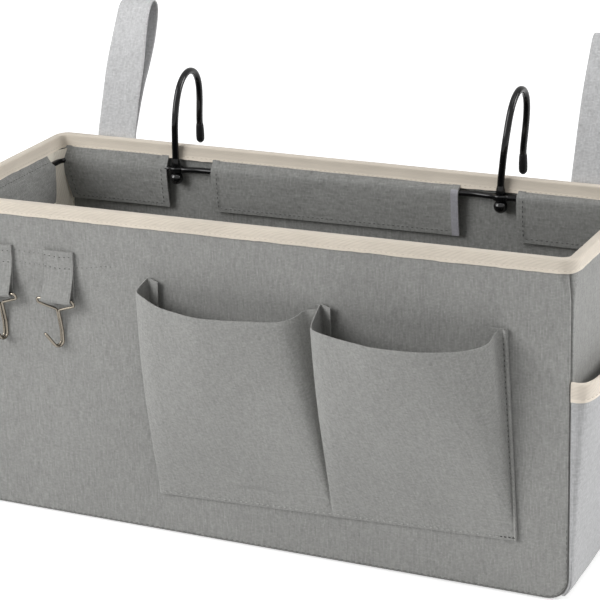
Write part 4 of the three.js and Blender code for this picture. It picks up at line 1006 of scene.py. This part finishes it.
def add_key_hook(side):
    """Double-wire hook bent from one length of wire; it leans on the panel, its curl turned to the left."""
    c, s = math.cos(math.radians(KEY_TURN[side])), math.sin(math.radians(KEY_TURN[side]))

    def half(k):
        def at(out, z, bend):
            return (k * KEY_SHANK * c - out * s, -k * KEY_SHANK * s - out * c, z, bend)
        return [(k * 0.2, 0, 0), (k * KEY_BAR, 0, 0, KEY_D), (k * KEY_BAR, 0, -3.3, 1.2), at(0, -7.2, KEY_D),
                at(0, -37.5, 3.0), at(11.0, -21.2, KEY_SHANK)]

    path = fine(bent(half(1) + half(-1)[::-1], 12), 0.5)
    down = -path[:, 2]
    path[:, 1] += 0.42 * np.clip(down, 0, 7) + 0.22 * np.clip(down - 7, 0, 14)
    v, q, uv = tube(path, KEY_D / 2, 14)
    part = (v + (TAB_X[side] + KEY_SLIDE[side], KEY_Y[side], KEY_Z), q, uv)
    piece(f"key_hook_{side}_wire", part, NICKEL, "nickel_wire", f"{side}_key_hook", [f"key_hook_{side}"])


# Straps

def add_strap(side):
    """Webbing loop behind the rim, both ends sewn to the back panel with a crossed box of stitches."""
    x = STRAP_X[side]
    up = np.stack([np.full(14, STRAP_Y), np.linspace(*STRAP_END, 14)], -1)
    line = fine(np.concatenate([up, spline(STRAP_LOOP, 120), up[::-1] + (STRAP_GAP, 0)]), 1.5)
    for _ in range(3):
        line = relaxed(line)
    y, z = line[:, :1], line[:, 1:]
    across = np.array((-1, -0.97, -0.85, -0.6, -0.3, 0, 0.3, 0.6, 0.85, 0.97, 1))[None] * STRAP_W / 2
    ripple = 0.5 * lumps(z, across, 22, 3.0 if side == "left" else 8.0) * smooth((z - 215) / 25)
    twist = across / STRAP_W * 2 * smooth((z - 238) / 40)
    g = np.stack([x + across + 0 * z, y + ripple - 3.0 * twist, z + 1.5 * twist], -1)
    thick = np.where(np.abs(across) > STRAP_W * 0.495, 0.8, STRAP_T)
    ob = piece(f"{side}_strap_webbing", cloth(g, thick), STRAP, "pale_webbing", None,
               [f"strap_{side}", f"strap_anchor_{side}"])
    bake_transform(ob)
    w, (z0, z1) = STRAP_W / 2 - 2.2, STRAP_SEWN
    box = [(-w, z0), (w, z0), (w, z1), (-w, z1), (-w, z0), (w, z1)]
    sewn_y = STRAP_Y + STRAP_GAP + 0.65
    rows = [stitches(np.stack([x + k[:, 0], 0 * k[:, 0] + sewn_y, k[:, 1]], -1), (0, 1, 0), "strap")
            for k in (fine(box, 0.5), fine([(w, z0), (-w, z1)], 0.5))]
    piece(f"{side}_strap_stitches", rows, SOFT_THREAD, "pale_webbing")


def add_seam_stitches():
    """Top-stitching close to the lower seams of the front and back panels."""
    inset, top = 2.3, 46
    w, z0, r = HALF_W - inset, inset, BASE_R - inset
    left = np.concatenate([[(-w, z) for z in np.linspace(top, z0 + r, 20)], arc(r, 180, 270, 14, (-(w - r), z0 + r))])
    path = fine(np.concatenate([left, left[::-1] * (-1, 1)]), 0.8)
    n = np.arange(len(path))
    path += 0.25 * np.stack([lumps(n, 0, 24, 1.0), lumps(n, 0, 24, 2.0)], -1)
    depth = edge_depth(path[:, 0], path[:, 1], HALF_W, 0, BASE_R)
    y = HALF_D - rolled(depth, edge_radius(path[:, 1]), NOTCH) + 0.02
    for tag, sign in FACES:
        row = stitches(np.stack([path[:, 0], sign * y, path[:, 1]], -1), (0, sign, 0), "seam")
        piece(f"{tag}_seam_stitches", row, PANEL_THREAD, "grey_linen", lifted=True)


add_box()
add_binding()
add_wire_frame()
add_sleeves()
add_seam_tapes()
for side in SIDES:
    add_pocket(side)
    add_key_tab(side)
    add_key_hook(side)
add_key_stitches()
add_side_pockets()
for add in (add_hanger, add_strap):
    for side in SIDES:
        add(side)
add_seam_stitches()

for node in ("front_board", "back_board", "left_board", "right_board", "base_board"):
    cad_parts[node].data.materials.clear()
    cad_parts[node].data.materials.append(BOARD)


# Floor, light and camera; places and sizes of the floor and lights are in metres

FLOOR_HALF, FLOOR_Z, FLOOR_GREY, AMBIENT = 9, -0.0004, 0.86, 0.28
GLOW_FROM, GLOW_TO = (0.4, 0.5), (1.4, 0.85)  # distance from the middle of the floor, and its glow there
YAW, PITCH, ROLL = (math.radians(a) for a in (25.32, 19.90, -1.85))
FOCAL_PX, FRAME_PX, SENSOR = 2201, 600, 36
AIM, SHIFT_RIGHT, SHIFT_UP, DISTANCE = (0, 0, 100), 3.5, 29.9, 1341


def add_stage():
    """White to the camera, and plain light on the object; the floor keeps the shadow near it."""
    h, z = FLOOR_HALF, FLOOR_Z
    me = bpy.data.meshes.new("floor")
    me.from_pydata([(-h, -h, z), (h, -h, z), (h, h, z), (-h, h, z)], [], [(0, 1, 2, 3)])
    g = surface("floor", base_color=(FLOOR_GREY, FLOOR_GREY, FLOOR_GREY, 1), roughness=0.9)
    away = g.add("VectorMath", out=1, inputs={0: g.add("TexCoord", out=3)}, operation="LENGTH")
    (near, start), (far, end) = GLOW_FROM, GLOW_TO
    glow = g.math("MULTIPLY", g.seen(), g.span(away, near, far, start, end))
    glow = g.add("Emission", inputs={"Color": (1, 1, 1, 1), "Strength": glow})
    both = g.add("AddShader", inputs={0: g.shader.outputs[0], 1: glow})
    g.put(g.tree.nodes["Material Output"].inputs["Surface"], both)
    me.materials.append(g.owner)
    link("floor", me)
    world = bpy.context.scene.world = bpy.data.worlds.new("studio")
    g = Graph(world, color=(1, 1, 1, 1))
    g.put(g.shader.inputs["Strength"], g.span(g.seen(), 0.0, 1.0, AMBIENT, 1.0))


def add_light(name, at, aim, size, watts):
    lamp = bpy.data.lights.new(name, "AREA")
    lamp.shape, lamp.size, lamp.size_y, lamp.energy = "RECTANGLE", size[0], size[1], watts
    ob = link(name, lamp)
    ob.location = at
    ob.rotation_euler = (Vector(aim) - Vector(at)).to_track_quat("-Z", "Y").to_euler()


def add_camera():
    """The photograph's view, fitted to the box."""
    back = Vector((math.sin(YAW) * math.cos(PITCH), -math.cos(YAW) * math.cos(PITCH), math.sin(PITCH)))
    right = (-back).cross(Vector((0, 0, 1))).normalized()
    up = right.cross(-back)
    r = math.cos(ROLL) * right + math.sin(ROLL) * up
    u = -math.sin(ROLL) * right + math.cos(ROLL) * up
    at = Vector(AIM) + r * SHIFT_RIGHT + u * SHIFT_UP + back * DISTANCE
    data = bpy.data.cameras.new("camera")
    data.sensor_width = SENSOR
    data.lens = SENSOR * FOCAL_PX / FRAME_PX
    ob = link("camera", data)
    ob.matrix_world = Matrix.Translation(at * MM) @ Matrix((r, u, back)).transposed().to_4x4()
    bpy.context.scene.camera = ob


add_stage()
add_light("key", (-1.05, -1.05, 0.9), (-0.02, 0, 0.1), (1.0, 1.0), 20.4)
add_light("side", (1.6, 0.5, 0.9), (0.15, 0, 0.1), (0.8, 0.8), 20)
add_light("top", (0.4, -0.35, 1.85), (-0.1, 0.05, 0.15), (1.2, 0.9), 5.5)
add_camera()
bpy.context.scene.view_settings.view_transform = "Standard"
